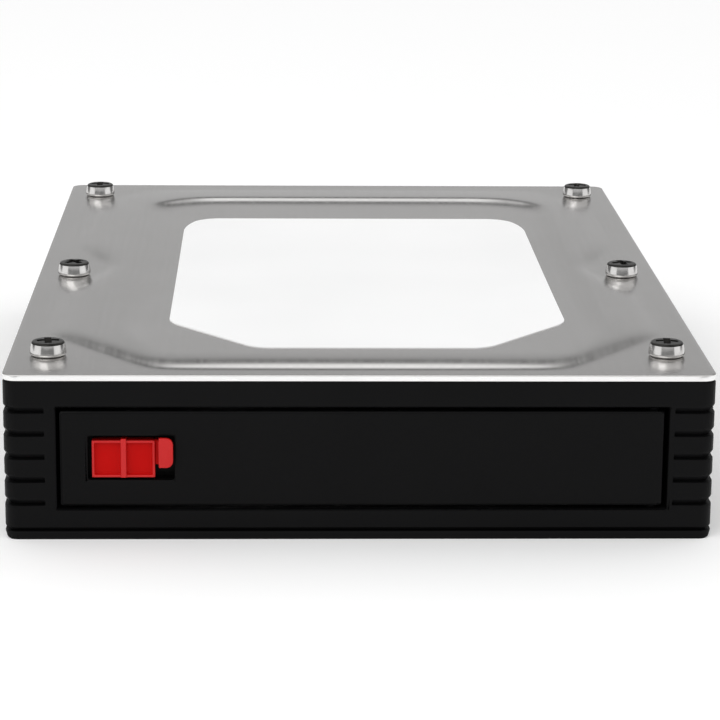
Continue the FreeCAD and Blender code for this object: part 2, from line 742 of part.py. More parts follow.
def grip_outline(depth):
    """Plan of a grip groove on the right corner of the bezel, at a depth under its faces."""
    wide = f"({SIDE} + sizes.overcut)"
    front = f"({FACE} - sizes.overcut)"
    back = f"({SEAM} + sizes.overcut)"
    end = f"({SIDE} - sizes.groove_reach)"
    deep = f"({SIDE} - ({depth}))"
    floor = f"({FACE} + {depth})"
    turn = f"(sizes.corner_radius - ({depth}))"
    return [(end, front), (wide, front), (wide, back), (deep, back), (deep, f"{floor} + {turn}"),
            (f"{deep} - {ARC_SAG} * {turn}", f"{floor} + {ARC_SAG} * {turn}"),
            (f"{deep} - {turn}", floor), (end, floor)]


def on_front(edge, level):
    """Whether an edge lies wholly in the front plane at a level along Y."""
    box = edge.BoundBox
    return abs(box.YMin - number(level)) < 1e-4 and abs(box.YMax - number(level)) < 1e-4


def make_door():
    """Flush door with a full-height knuckle, stiffening ribs and the latch's guides."""
    body = new_body("front_door")
    height = f"{DOOR_TOP} - {DOOR_BASE}"
    nose = f"({PIN_X} + sizes.door_nose)"
    pad(body, "panel", "XZ", FACE, [rectangle(DOOR_LEFT, DOOR_BASE, nose, DOOR_TOP)],
        "sizes.door_thickness")
    pad(body, "knuckle", "XY", DOOR_BASE, [(PIN_X, PIN_Y, "sizes.knuckle_radius")], height)
    rib = "sizes.door_rib_width"
    left = f"({RETAINER_RIGHT} + {rib})"
    right = f"({PIN_X} - 2 * sizes.knuckle_radius)"
    low = f"({DOOR_BASE} + {rib})"
    high = f"({DOOR_TOP} - {rib})"
    outside = rectangle(left, low, right, high)
    inside = rectangle(f"{left} + {rib}", f"{low} + {rib}", f"{right} - {rib}", f"{high} - {rib}")
    pad(body, "ribs", "XZ", DOOR_BACK, [outside, inside], "sizes.door_rib_depth")
    guide = "sizes.latch_guide_width / 2"
    guides = [rectangle(WINDOW_LEFT, f"{level} - {guide}", RETAINER_RIGHT, f"{level} + {guide}")
              for level in (GUIDE_BASE, GUIDE_TOP)]
    pad(body, "guides", "XZ", DOOR_BACK, guides, f"{RETAINER_FRONT} - {DOOR_BACK}")
    pocket(body, "pin_bore", "XY", DOOR_BASE,
           [(PIN_X, PIN_Y, "sizes.pin_radius + sizes.running_clearance")], height)
    pocket(body, "window", "XZ", FACE,
           [rectangle(WINDOW_LEFT, WINDOW_BASE, WINDOW_RIGHT, WINDOW_TOP)], "sizes.door_thickness")
    pad(body, "stakes", "XZ", RETAINER_FRONT, retainer_stakes("0"), "sizes.retainer_thickness")
    bevelled(body, "front_edges", "sizes.edge_radius / 2", lambda edge: on_front(edge, FACE))
    return body


def make_pin():
    """Steel pin through the top rail, the door's knuckle and into the bottom rail."""
    pin = rod("hinge_pin", "sizes.pin_radius", PIN_X, PIN_Y,
              ("sizes.opening_sill / 2 + sizes.seam_gap", f"{WALL_TOP} - sizes.moving_gap"))
    pin.Label = "hinge_pin"
    return pin


def make_slider():
    """Latch slider: block in the window, thumb lip, flange behind the door, arm and tongue."""
    body = new_body("latch_slider")
    block_left = f"({WINDOW_LEFT} + sizes.block_side_gap)"
    block_right = f"({block_left} + sizes.block_width)"
    block_base = f"({WINDOW_BASE} + sizes.block_base_gap)"
    block_top = f"({block_base} + sizes.block_height)"
    front = f"({FACE} + sizes.block_recess)"
    pad(body, "flange", "XZ", FLANGE_FRONT,
        [rectangle(FLANGE_LEFT, FLANGE_BASE, FLANGE_RIGHT, FLANGE_TOP)], "sizes.flange_thickness")
    pad(body, "block", "XZ", FLANGE_FRONT,
        [rectangle(block_left, block_base, block_right, block_top)], f"{FLANGE_FRONT} - {front}", -1)
    stem_left = f"({block_right} - sizes.lip_stem)"
    neck_left = f"({stem_left} - sizes.neck_width)"
    middle = f"({block_left} + {neck_left}) / 2"
    border = "sizes.block_border"
    pads = [rectangle(f"{block_left} + {border}", f"{block_base} + {border}",
                      f"{middle} - sizes.block_rib_width / 2", f"{block_top} - {border}"),
            rectangle(f"{middle} + sizes.block_rib_width / 2", f"{block_base} + {border}",
                      f"{neck_left} - {border}", f"{block_top} - {border}"),
            rectangle(neck_left, f"{block_base} - sizes.overcut", stem_left, f"{block_top} + sizes.overcut")]
    pocket(body, "pads", "XZ", front, pads, "sizes.pad_recess")
    lip_front = f"({FACE} - sizes.lip_proud)"
    lip_top = f"({block_top} + sizes.lip_overlap)"
    lip_base = f"({lip_top} - sizes.lip_height)"
    pad(body, "stem", "XZ", lip_front, [rectangle(stem_left, lip_base, block_right, block_top)],
        "sizes.lip_proud + sizes.block_recess + sizes.seam_gap")
    lip_right = f"({block_right} + sizes.lip_reach)"
    pad(body, "lip", "XZ", lip_front, [rectangle(stem_left, lip_base, lip_right, lip_top)],
        "sizes.lip_thickness")
    rounded(body, "lip_corners", "sizes.lip_round", lambda edge: along_y(edge) and at_side(edge, lip_right))
    arm_base = f"({FLANGE_TOP} - sizes.arm_height)"
    arm_right = f"({FLANGE_LEFT} + sizes.arm_width)"
    pad(body, "arm", "XZ", FLANGE_BACK, [rectangle(FLANGE_LEFT, arm_base, arm_right, FLANGE_TOP)],
        f"{TONGUE_BACK} - {FLANGE_BACK}")
    pad(body, "tongue", "XZ", TONGUE_FRONT,
        [rectangle(FLANGE_LEFT, arm_base, f"{FLANGE_LEFT} + sizes.tongue_length", FLANGE_TOP)],
        "sizes.tongue_thickness")
    bevelled(body, "lip_edges", "sizes.lip_thickness / 3", lambda edge: on_front(edge, lip_front))
    return body


def make_retainer():
    """Plate behind the slider, held to the door by four flattened stakes."""
    body = new_body("latch_retainer")
    edge = "sizes.latch_guide_width / 2"
    pad(body, "plate", "XZ", RETAINER_FRONT,
        [rectangle(RETAINER_LEFT, f"{GUIDE_BASE} - {edge}", RETAINER_RIGHT, f"{GUIDE_TOP} + {edge}")],
        "sizes.retainer_thickness")
    pocket(body, "holes", "XZ", RETAINER_FRONT, retainer_stakes("sizes.running_clearance"),
           "sizes.retainer_thickness")
    return body


def inset(corners, distance):
    """Corners of a counter-clockwise outline whose sides all move inward by a distance."""
    moved = []
    count = len(corners)
    for index, corner in enumerate(corners):
        before = (corner - corners[index - 1]).normalize()
        after = (corners[(index + 1) % count] - corner).normalize()
        normal_before = Vector(-before.y, before.x, 0)
        normal_after = Vector(-after.y, after.x, 0)
        bisector = normal_before + normal_after
        moved.append(corner + bisector * (distance / (1 + normal_before.dot(normal_after))))
    return moved


def rounded_wire(corners, radius, level):
    """Closed wire at a level, each corner turned into an arc unless it is a slight one."""
    pieces = []
    count = len(corners)
    ends = []
    for index, corner in enumerate(corners):
        before = (corner - corners[index - 1]).normalize()
        after = (corners[(index + 1) % count] - corner).normalize()
        half_turn = before.getAngle(after) / 2
        back = radius * math.tan(half_turn)
        inward = (after - before).normalize()
        middle = corner + inward * (radius / math.cos(half_turn) - radius)
        if 2 * half_turn < SLIGHT_TURN:
            ends.append((corner, None, corner))
        else:
            ends.append((corner - before * back, middle, corner + after * back))
    rise = Vector(0, 0, level)
    for index, (start, middle, end) in enumerate(ends):
        if middle:
            pieces.append(Part.Arc(start + rise, middle + rise, end + rise).toShape())
        pieces.append(Part.LineSegment(end + rise, ends[(index + 1) % count][0] + rise).toShape())
    return Part.Wire(pieces)


def soft_step(corners, slope, radius, base, rise):
    """Solid that climbs from a base level by a soft slope centred on an outline."""
    wires = []
    for step in range(SLOPE_STEPS + 1):
        part_way = step / SLOPE_STEPS
        eased = part_way * part_way * (3 - 2 * part_way)
        wires.append(rounded_wire(inset(corners, slope * (part_way - 0.5)), radius, base + rise * eased))
    return Part.makeLoft(wires, True, True)


def plateau_corners():
    """Outline of the raised field of the lid: cut corners and a notch at each middle screw."""
    side = number(f"{SIDE} - sizes.plateau_side")
    face = number(FACE)
    middle = number(f"{MIDDLE} - sizes.notch_middle")
    front = face + number("sizes.plateau_front")
    back = number(f"{REAR} - sizes.plateau_back")
    notch = side - number("sizes.notch_depth")
    long_half = number("sizes.notch_length") / 2
    short_half = number("sizes.notch_floor") / 2
    right = [(number(f"{SIDE} - sizes.plateau_front_cut"), front),
             (side, front + number("sizes.plateau_front_rise")),
             (side, middle - long_half), (notch, middle - short_half),
             (notch, middle + short_half), (side, middle + long_half),
             (side, back - number("sizes.plateau_back_rise")),
             (number(f"{SIDE} - sizes.plateau_back_cut"), back)]
    left = [(-x, y) for x, y in reversed(right)]
    return [Vector(x, y, 0) for x, y in right + left]


def dish_corners():
    """Outline of the sunken panel that takes the sticker."""
    half = number(f"{SIDE} - sizes.dish_side")
    front = number(f"{FACE} + sizes.dish_front")
    back = number(f"{REAR} - sizes.dish_back")
    right = [(half - number("sizes.dish_front_cut"), front),
             (half, front + number("sizes.dish_front_rise")),
             (half, back - number("sizes.dish_back_rise")),
             (half - number("sizes.dish_back_cut"), back)]
    left = [(-x, y) for x, y in reversed(right)]
    shift = number("sizes.dish_shift")
    return [Vector(x + shift, y, 0) for x, y in right + left]


def make_cover():
    """Stamped lid: one sheet whose raised field and sunken panel show on both faces."""
    sheet_body = new_body("lid_sheet")
    pad(sheet_body, "plate", "XY", WALL_TOP, [rectangle(f"-{SIDE}", FACE, SIDE, REAR)],
        "sizes.sheet_thickness")
    rounded(sheet_body, "plate_corners", "sizes.corner_radius", upright)
    holes = [(x, y, "sizes.screw_radius + sizes.screw_clearance") for x, y in lid_screw_places()]
    pocket(sheet_body, "screw_holes", "XY", WALL_TOP, holes, "sizes.sheet_thickness")

    level = number("sizes.cover_level")
    rise = number("sizes.plateau_height")
    depth = number("sizes.dish_depth")
    round_off = number("sizes.plateau_round")
    field = soft_step(plateau_corners(), number("sizes.plateau_slope"), round_off, level, rise)
    panel = soft_step(dish_corners(), -number("sizes.dish_slope"), round_off, level + rise - depth, depth)
    stamping = doc.addObject("Part::Feature", "stamping")
    stamping.Shape = field.cut(panel)
    hollow = doc.addObject("Part::Feature", "stamping_underside")
    hollow.Shape = stamping.Shape.copy()
    hollow.Placement = FreeCAD.Placement(Vector(0, 0, -number("sizes.sheet_thickness")), FreeCAD.Rotation())
    cover = cut("top_cover", fuse("lid_raised", [sheet_body, stamping]), hollow)
    cover.Label = "top_cover"
    return cover


def panel_level():
    """Height of the sunken panel's upper face."""
    return "(sizes.cover_level + sizes.plateau_height - sizes.dish_depth)"


def make_label():
    """Plain sticker with cut corners, flat on the sunken panel."""
    body = new_body("cover_label")
    half = f"({SIDE} - sizes.label_side)"
    left = f"(sizes.label_shift - {half})"
    right = f"(sizes.label_shift + {half})"
    front = f"({FACE} + sizes.label_front)"
    back = f"({REAR} - sizes.label_back)"
    corners = [(f"{left} + sizes.label_cut", front), (f"{right} - sizes.label_cut", front),
               (right, f"{front} + sizes.label_cut_rise"), (right, f"{back} - sizes.label_back_rise"),
               (f"{right} - sizes.label_back_cut", back), (f"{left} + sizes.label_back_cut", back),
               (left, f"{back} - sizes.label_back_rise"), (left, f"{front} + sizes.label_cut_rise")]
    pad(body, "sticker", "XY", panel_level(), [corners], "sizes.label_thickness")
    rounded(body, "corners", "sizes.corner_radius", upright)
    return body


def turned(profile):
    """Solid turned about Z from a half section (radius, height) that starts and ends on the axis."""
    points = [Vector(radius, 0, height) for radius, height in profile]
    section = Part.Face(Part.makePolygon(points + points[:1]))
    return section.revolve(Vector(0, 0, 0), Vector(0, 0, 1), 360)


def cross_recess(width, depth, top):
    """Cross-shaped driver recess open at a level."""
    arm = width * RECESS_ARM
    first = Part.makeBox(width, arm, depth, Vector(-width / 2, -arm / 2, top - depth))
    second = Part.makeBox(arm, width, depth, Vector(-arm / 2, -width / 2, top - depth))
    return first.fuse(second)


def prism(outline, low, high):
    """Upright solid on an outline of expressions, between two levels."""
    corners = [Vector(number(x), number(y), low) for x, y in outline]
    return Part.Face(Part.makePolygon(corners + corners[:1])).extrude(Vector(0, 0, high - low))


def pan_screw(head_radius, head_height, shank_radius, length):
    """Pan-head screw standing on the plane under its head."""
    head = turned([(0, 0), (head_radius, 0), (head_radius, HEAD_SHOULDER * head_height),
                   (HEAD_CROWN * head_radius, head_height), (0, head_height)])
    recess = cross_recess(RECESS_WIDTH * head_radius, RECESS_DEPTH * head_height, head_height)
    return head.cut(recess).fuse(prism(regular("0", "0", shank_radius, THREAD_SIDES), -length, 0))


def flat_screw(head_radius, shank_radius, length):
    """Countersunk screw whose head is flush with the plane it points up from."""
    head_height = head_radius - shank_radius
    head = turned([(0, 0), (head_radius, 0), (shank_radius, head_height), (0, head_height)])
    depth = RECESS_DEPTH * head_height
    head = head.cut(cross_recess(RECESS_WIDTH * head_radius, depth, depth))
    return head.fuse(prism(regular("0", "0", shank_radius, THREAD_SIDES), head_height, length))


def placed(shape, places, level):
    """Copies of a shape at plan positions given as expressions."""
    return [shape.translated(Vector(number(x), number(y), level)) for x, y in places]


def make_screws():
    """Groups of like screws, one node each."""
    lid = pan_screw(number("sizes.screw_head_radius"), number("sizes.screw_head_height"),
                    number("sizes.screw_radius"), number("sizes.screw_length"))
    flat = flat_screw(number("sizes.flat_head_radius"), number("sizes.flat_shank_radius"),
                      number("sizes.flat_screw_length"))
    small = pan_screw(number("sizes.small_head_radius"), number("sizes.small_head_height"),
                      number("sizes.small_shank_radius"), number("sizes.small_screw_length"))
    return [group("cover_screws", placed(lid, lid_screw_places(), number("sizes.cover_level"))),
            group("bezel_screws", placed(flat, bezel_screw_places(), 0)),
            group("board_screws", placed(small, board_screw_places(), number(BOARD_TOP)))]


def make_inserts():
    """Hexagonal brass inserts, flush with the tray's outside."""
    length = number("sizes.insert_length")
    outside = prism(hexagon("0", "0", "sizes.insert_flat"), 0, length)
    insert = outside.cut(Part.makeCylinder(number("sizes.thread_radius"), length))
    below = placed(insert, bottom_hole_places(), 0)
    beside = []
    for sign, _ in SIDES:
        lying = insert.copy()
        lying.rotate(Vector(0, 0, 0), Vector(0, 0, 1), 90)
        lying.rotate(Vector(0, 0, 0), Vector(0, 1, 0), -90 * sign)
        for y in side_hole_rows():
            place = Vector(sign * number(SIDE), number(y), number("sizes.side_hole_height"))
            beside.append(lying.translated(place))
    return [group("bottom_inserts", below), group("side_inserts", beside)]


def make_rail(sign, side):
    """Guide for the small drive: wall, ledge and feet whose pegs pass through the floor."""
    body = new_body(f"{side}_drive_rail")
    inner = "sizes.bay_width / 2"
    outer = f"({inner} + sizes.rail_wall)"
    ledge = f"({inner} - sizes.ledge_width)"
    under = "(sizes.bay_floor - sizes.ledge_thickness)"
    section = [(outer, FLOOR), (outer, "sizes.rail_height"), (inner, "sizes.rail_height"),
               (inner, "sizes.bay_floor"), (ledge, "sizes.bay_floor"), (ledge, under),
               (inner, under), (inner, FLOOR)]
    pad(body, "profile", "XZ", RAIL_FRONT, [section if sign > 0 else mirrored(section)],
        f"{RAIL_BACK} - {RAIL_FRONT}")
    feet = []
    for y in rail_foot_rows():
        foot = rectangle(f"{outer} - sizes.seam_gap", f"{y} - sizes.foot_length / 2",
                         f"{outer} + sizes.foot_width", f"{y} + sizes.foot_length / 2")
        feet.append(foot if sign > 0 else mirrored(foot))
    pad(body, "feet", "XY", FLOOR, feet, "sizes.foot_height")
    pegs = rail_pegs("0")
    pad(body, "pegs", "XY", FLOOR, pegs if sign > 0 else [mirrored(peg) for peg in pegs], FLOOR, -1)
    lead = [(ledge, RAIL_FRONT), (f"{inner} + sizes.lead_depth", RAIL_FRONT),
            (inner, f"{RAIL_FRONT} + sizes.lead_length"), (ledge, f"{RAIL_FRONT} + sizes.lead_length")]
    pocket(body, "lead_in", "XY", "sizes.bay_floor", [lead if sign > 0 else mirrored(lead)],
           "sizes.rail_height")
    return body


def make_board():
    """Circuit board with one cut corner and two screw holes."""
    body = new_body("adapter_board")
    cut_off = "sizes.board_screw_margin"
    corners = [("sizes.board_left", f"{BOARD_FRONT} + {cut_off}"),
               (f"sizes.board_left + {cut_off}", BOARD_FRONT), (BOARD_RIGHT, BOARD_FRONT),
               (BOARD_RIGHT, BOARD_BACK), ("sizes.board_left", BOARD_BACK)]
    pad(body, "laminate", "XY", "sizes.board_level", [corners], "sizes.board_thickness")
    holes = [(x, y, "sizes.small_shank_radius + sizes.screw_clearance") for x, y in board_screw_places()]
    pocket(body, "holes", "XY", "sizes.board_level", holes, "sizes.board_thickness")
    return body


def connector_spans(shift):
    """Signal and power spans of a connector along X, as pairs of expressions."""
    return [(f"({shift} + sizes.{name}_left)", f"({shift} + sizes.{name}_right)")
            for name in ("signal", "power")]


def make_receptacle():
    """Connector for the small drive: a block on the board with two keyed slots."""
    body = new_body("drive_receptacle")
    half = "sizes.receptacle_width / 2"
    left = f"({RECEPTACLE_SHIFT} - {half})"
    right = f"({RECEPTACLE_SHIFT} + {half})"
    top = f"({BOARD_TOP} + sizes.receptacle_height)"
    pad(body, "block", "XZ", RECEPTACLE_FRONT, [rectangle(left, BOARD_TOP, right, top)],
        "sizes.receptacle_depth")
    middle = f"({BOARD_TOP} + sizes.receptacle_height / 2)"
    slots = []
    for low, high in connector_spans(RECEPTACLE_SHIFT):
        base = f"({middle} - sizes.slot_height / 2)"
        roof = f"({middle} + sizes.slot_height / 2)"
        key = f"({low} + sizes.key_width)"
        slots.append([(low, base), (high, base), (high, roof), (key, roof),
                      (key, f"{roof} + sizes.key_height"), (low, f"{roof} + sizes.key_height")])
    pocket(body, "slots", "XZ", RECEPTACLE_FRONT, slots, "sizes.slot_depth")
    return body


def make_plug():
    """Rear connector under the board: base, two keyed blades and two guide posts."""
    body = new_body("host_plug")
    half = "sizes.plug_width / 2"
    left = f"({PLUG_SHIFT} - {half})"
    right = f"({PLUG_SHIFT} + {half})"
    low = f"({FLOOR} + sizes.moving_gap)"
    pad(body, "base", "XZ", PLUG_FRONT, [rectangle(left, low, right, "sizes.board_level")],
        "sizes.plug_base_depth")
    blades = []
    for start, end in connector_spans(PLUG_SHIFT):
        top = "(sizes.blade_level + sizes.blade_thickness)"
        key = f"({start} + sizes.key_width)"
        blades.append([(start, "sizes.blade_level"), (end, "sizes.blade_level"), (end, top), (key, top),
                       (key, f"{top} + sizes.key_height"), (start, f"{top} + sizes.key_height")])
    pad(body, "blades", "XZ", BLADE_FRONT, blades, "sizes.blade_length")
    posts = [rectangle(left, low, f"{left} + sizes.guide_width", BOARD_TOP),
             rectangle(f"{right} - sizes.guide_width", low, right, BOARD_TOP)]
    pad(body, "guide_posts", "XZ", BLADE_FRONT, posts, "sizes.blade_length")
    return body


def contact_strips(shift, y, level):
    """Thin contact strips in rows, standing on a level."""
    strips = []
    for (low, high), count in zip(connector_spans(shift), (SIGNAL_CONTACTS, POWER_CONTACTS)):
        middle = number(f"({low} + {high}) / 2")
        for index in range(count):
            x = middle + (index - (count - 1) / 2) * number("sizes.contact_pitch")
            corner = Vector(x - number("sizes.contact_width") / 2, y, level)
            strips.append(Part.makeBox(number("sizes.contact_width"), number("sizes.contact_length"),
                                       number("sizes.contact_thickness"), corner))
    return strips


def make_contacts():
    """Gold strips in the receptacle's slots and under the plug's blades."""
    slot_base = number(f"{BOARD_TOP} + (sizes.receptacle_height - sizes.slot_height) / 2")
    slot_front = number(f"{RECEPTACLE_FRONT} + sizes.contact_setback")
    inner = contact_strips(RECEPTACLE_SHIFT, slot_front, slot_base)
    below = number("sizes.blade_level - sizes.contact_thickness")
    outer = contact_strips(PLUG_SHIFT, number(BLADE_FRONT), below)
    return [group("receptacle_contacts", inner), group("plug_contacts", outer)]


def make_capacitors():
    """Row of small capacitors behind the receptacle."""
    size = [number(f"sizes.capacitor_{name}") for name in ("length", "width", "height")]
    y = number(f"{RECEPTACLE_FRONT} + sizes.receptacle_depth + sizes.capacitor_gap")
    chips = []
    for index in range(CAPACITORS):
        x = number(f"{RECEPTACLE_SHIFT} + ({index - (CAPACITORS - 1) / 2}) * sizes.capacitor_pitch")
        chips.append(Part.makeBox(*size, Vector(x - size[0] / 2, y, number(BOARD_TOP))))
    return [group("board_capacitors", chips)]


nodes = [make_tray(), make_bezel(), make_door(), make_pin(), make_slider(), make_retainer(),
         make_cover(), make_label(), make_board(), make_receptacle(), make_plug()]
nodes += [make_rail(sign, side) for sign, side in SIDES]
nodes += make_screws() + make_inserts() + make_contacts() + make_capacitors()
doc.recompute()

failed = [item.Label for item in doc.Objects if {"Invalid", "Error"} & set(item.State)]
failed += [node.Label for node in nodes if node.Shape.isNull() or not node.Shape.isValid()]
if failed:
    raise ValueError(f"not built: {sorted(set(failed))}")

os.makedirs("parts", exist_ok=True)
for node in nodes:
    node.Shape.exportStep(f"parts/{node.Label}.step")
    print(node.Label, len(node.Shape.Solids), round(node.Shape.Volume, 1))
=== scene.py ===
"""Looks of the drive bay adapter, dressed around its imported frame.

Lengths in the classes are in millimetres and become metres where a mesh is made, and turns are in
degrees. X runs to the right seen from the front, Y from the front to the back, Z up, as in the frame.
"""
import logging
import math
from abc import ABC, abstractmethod
from contextlib import contextmanager
from dataclasses import dataclass
from enum import Enum, IntEnum
from typing import Callable, Iterator, Sequence

import bmesh
import bpy
import numpy as np
from mathutils import Matrix, Vector


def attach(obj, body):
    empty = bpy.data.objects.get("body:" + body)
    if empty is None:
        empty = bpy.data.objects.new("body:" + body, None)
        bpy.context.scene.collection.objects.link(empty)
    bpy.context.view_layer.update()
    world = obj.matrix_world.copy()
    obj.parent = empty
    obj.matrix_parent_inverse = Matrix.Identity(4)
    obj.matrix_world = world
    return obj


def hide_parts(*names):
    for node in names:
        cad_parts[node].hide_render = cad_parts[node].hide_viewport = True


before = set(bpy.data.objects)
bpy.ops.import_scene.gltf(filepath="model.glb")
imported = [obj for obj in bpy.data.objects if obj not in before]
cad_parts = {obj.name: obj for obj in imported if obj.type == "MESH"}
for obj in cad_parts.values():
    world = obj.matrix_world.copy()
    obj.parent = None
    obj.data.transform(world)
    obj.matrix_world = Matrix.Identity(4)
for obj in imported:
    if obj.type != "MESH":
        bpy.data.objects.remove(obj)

# Units in metres
METRE = 1.0
MM = 0.001

# Tolerances in millimetres: places that count as the same, and points of a node that are merged
NEAR = 0.01
NODE_WELD = 0.002

# Turns in degrees: faces of a node that count as flat, and edges that count as sharp
FLAT_ANGLE = 0.5
SHARP_ANGLE = 30.0
ROUND_ANGLE = 40.0

# Share of a normal along an axis from which a face looks that way
FACING = 0.9

Point = tuple[float, float]
Colour = tuple[float, float, float]
Corners = tuple[Sequence[float], Sequence[float]]
Setting = float | Sequence[float] | bpy.types.NodeSocket

log = logging.getLogger("adapter")


class Body(str, Enum):
    """Moving bodies of the frame."""

    CHASSIS = "chassis"
    DOOR = "door"
    LATCH = "latch"


class Slot(str, Enum):
    """Material slots of the record."""

    BLACK_PLASTIC = "black_plastic"
    RED_PLASTIC = "red_plastic"
    LID_STEEL = "lid_steel"
    SCREW_STEEL = "screw_steel"
    LABEL_FILM = "label_film"
    BOARD_LAMINATE = "board_laminate"
    CONTACT_GOLD = "contact_gold"
    INSERT_BRASS = "insert_brass"
    CERAMIC = "ceramic"


class Element(Enum):
    """Kinds of mesh elements, with the names of the lists that hold them."""

    VERT = "verts"
    EDGE = "edges"
    FACE = "faces"


class Axis(IntEnum):
    """Axes of the frame, by their numbers in a vector."""

    X = 0
    Y = 1
    Z = 2


class VectorStep(Enum):
    """What a shader does to vectors."""

    MULTIPLY = "MULTIPLY"
    NORMALIZE = "NORMALIZE"


class Operation(Enum):
    """What a tool does to a piece."""

    DIFFERENCE = "DIFFERENCE"
    UNION = "UNION"


class ScrewZone(IntEnum):
    """Zones of a screw, by the number of their finish; the top and the recess take painted shade."""

    SIDE = 0
    TOP = 1
    RECESS = 2


# Mesh work


def only(piece: bpy.types.Object) -> None:
    """Make a piece the one selected and active object.

    Args:
        piece: The object to work on.
    """
    bpy.ops.object.select_all(action="DESELECT")
    piece.select_set(True)
    bpy.context.view_layer.objects.active = piece


@contextmanager
def editing(piece: bpy.types.Object, kind: Element = Element.FACE) -> Iterator[None]:
    """Hold a piece in edit mode with nothing selected.

    Args:
        piece: The object to edit.
        kind: Kind of element that is selected.

    Yields:
        Nothing, while the piece is in edit mode.
    """
    only(piece)
    bpy.ops.object.mode_set(mode="EDIT")
    bpy.ops.mesh.select_mode(type=kind.name)
    bpy.ops.mesh.select_all(action="DESELECT")
    try:
        yield
    finally:
        bpy.ops.object.mode_set(mode="OBJECT")


def pick(piece: bpy.types.Object, kind: Element, keep: Callable[..., bool]) -> int:
    """Select, in edit mode, the elements that a test keeps.

    Args:
        piece: The object in edit mode.
        kind: Which elements are tested.
        keep: Test of one element.

    Returns:
        How many elements are selected.
    """
    mesh = bmesh.from_edit_mesh(piece.data)
    count = 0
    for element in getattr(mesh, kind.value):
        if keep(element):
            element.select_set(True)
            count += 1
    mesh.select_flush_mode()
    bmesh.update_edit_mesh(piece.data)
    return count


def pick_all() -> None:
    """Select the whole mesh in edit mode."""
    bpy.ops.mesh.select_all(action="SELECT")


def cut_across(axis: Axis, place: float, unit: float = MM) -> None:
    """Cut the mesh in edit mode by a plane across an axis.

    Args:
        axis: The axis.
        place: Where the plane crosses it.
        unit: Unit of that place in metres.
    """
    normal = Vector((0.0, 0.0, 0.0))
    normal[axis] = 1.0
    pick_all()
    bpy.ops.mesh.bisect(plane_co=normal * place * unit, plane_no=normal)


def push_out(shift: Sequence[float]) -> None:
    """Extrude what is selected in edit mode.

    Args:
        shift: How far it moves along X, Y and Z, in millimetres.
    """
    step = [distance * MM for distance in shift]
    bpy.ops.mesh.extrude_region_move(TRANSFORM_OT_translate={"value": step})


def named(name: str) -> bpy.types.Object:
    """Name the object that an operator has just added.

    Args:
        name: New name of the object and its mesh.

    Returns:
        The object.
    """
    piece = bpy.context.object
    piece.name = name
    piece.data.name = name
    return piece


def begin(add: Callable[..., set[str]], name: str, **options: Setting | int | str) -> bpy.types.Object:
    """Add the primitive from which a piece is shaped, with nothing else selected.

    Args:
        add: Operator that adds the primitive.
        name: Name of the new object.
        options: The operator's options.

    Returns:
        The new object.
    """
    bpy.ops.object.select_all(action="DESELECT")
    add(**options)
    return named(name)


def settle(piece: bpy.types.Object) -> bpy.types.Object:
    """Put a piece's place into its mesh, so that its object sits at the origin.

    Args:
        piece: The object to settle.

    Returns:
        The same object.
    """
    only(piece)
    bpy.ops.object.transform_apply(location=True, rotation=True, scale=True)
    return piece


def block(name: str, low: Sequence[float], high: Sequence[float]) -> bpy.types.Object:
    """Add a box between two corners, in millimetres.

    Args:
        name: Name of the new object.
        low: Lowest corner.
        high: Highest corner.

    Returns:
        The new object.
    """
    centre = [(a + b) / 2 * MM for a, b in zip(low, high)]
    piece = begin(bpy.ops.mesh.primitive_cube_add, name, size=1, location=centre)
    piece.scale = [(b - a) * MM for a, b in zip(low, high)]
    return settle(piece)


def outline(name: str, corners: Sequence[Point], level: float) -> bpy.types.Object:
    """Add a flat face on an outline.

    Args:
        name: Name of the new object.
        corners: Corners in order, counter-clockwise seen from above, in millimetres.
        level: Height of the face in millimetres.

    Returns:
        The new object, one face.
    """
    piece = begin(bpy.ops.mesh.primitive_circle_add, name, vertices=len(corners), radius=MM,
                  fill_type="NGON")
    for vertex, (x, y) in zip(piece.data.vertices, corners):
        vertex.co = (x * MM, y * MM, level * MM)
    return piece


def round_corners(piece: bpy.types.Object, radius: float, segments: int,
                  keep: Callable[[bmesh.types.BMVert], bool] = lambda vertex: True) -> None:
    """Round corners of a flat face.

    Args:
        piece: Object that is one flat face.
        radius: Length taken from each side of a corner, in millimetres.
        segments: Sides of each rounded corner.
        keep: Test of the corners to round.
    """
    with editing(piece, Element.VERT):
        pick(piece, Element.VERT, keep)
        bpy.ops.mesh.bevel(offset=radius * MM, segments=segments, affect="VERTICES", profile=0.5)


def apply_all(piece: bpy.types.Object) -> None:
    """Apply a piece's modifiers in their order.

    Args:
        piece: The object.
    """
    only(piece)
    for modifier in list(piece.modifiers):
        bpy.ops.object.modifier_apply(modifier=modifier.name)


def soften(piece: bpy.types.Object, width: float, segments: int = 2, angle: float = SHARP_ANGLE) -> None:
    """Break the edges of a piece and shade it smooth up to an angle.

    Args:
        piece: The object.
        width: Width of the broken edge in millimetres.
        segments: Rows of faces across it.
        angle: Turn in degrees above which an edge is broken.
    """
    bevel = piece.modifiers.new("soft_edges", "BEVEL")
    bevel.width = width * MM
    bevel.segments = segments
    bevel.limit_method = "ANGLE"
    bevel.angle_limit = math.radians(angle)
    bevel.use_clamp_overlap = False
    bevel.miter_outer = "MITER_ARC"
    apply_all(piece)
    smooth(piece, angle)


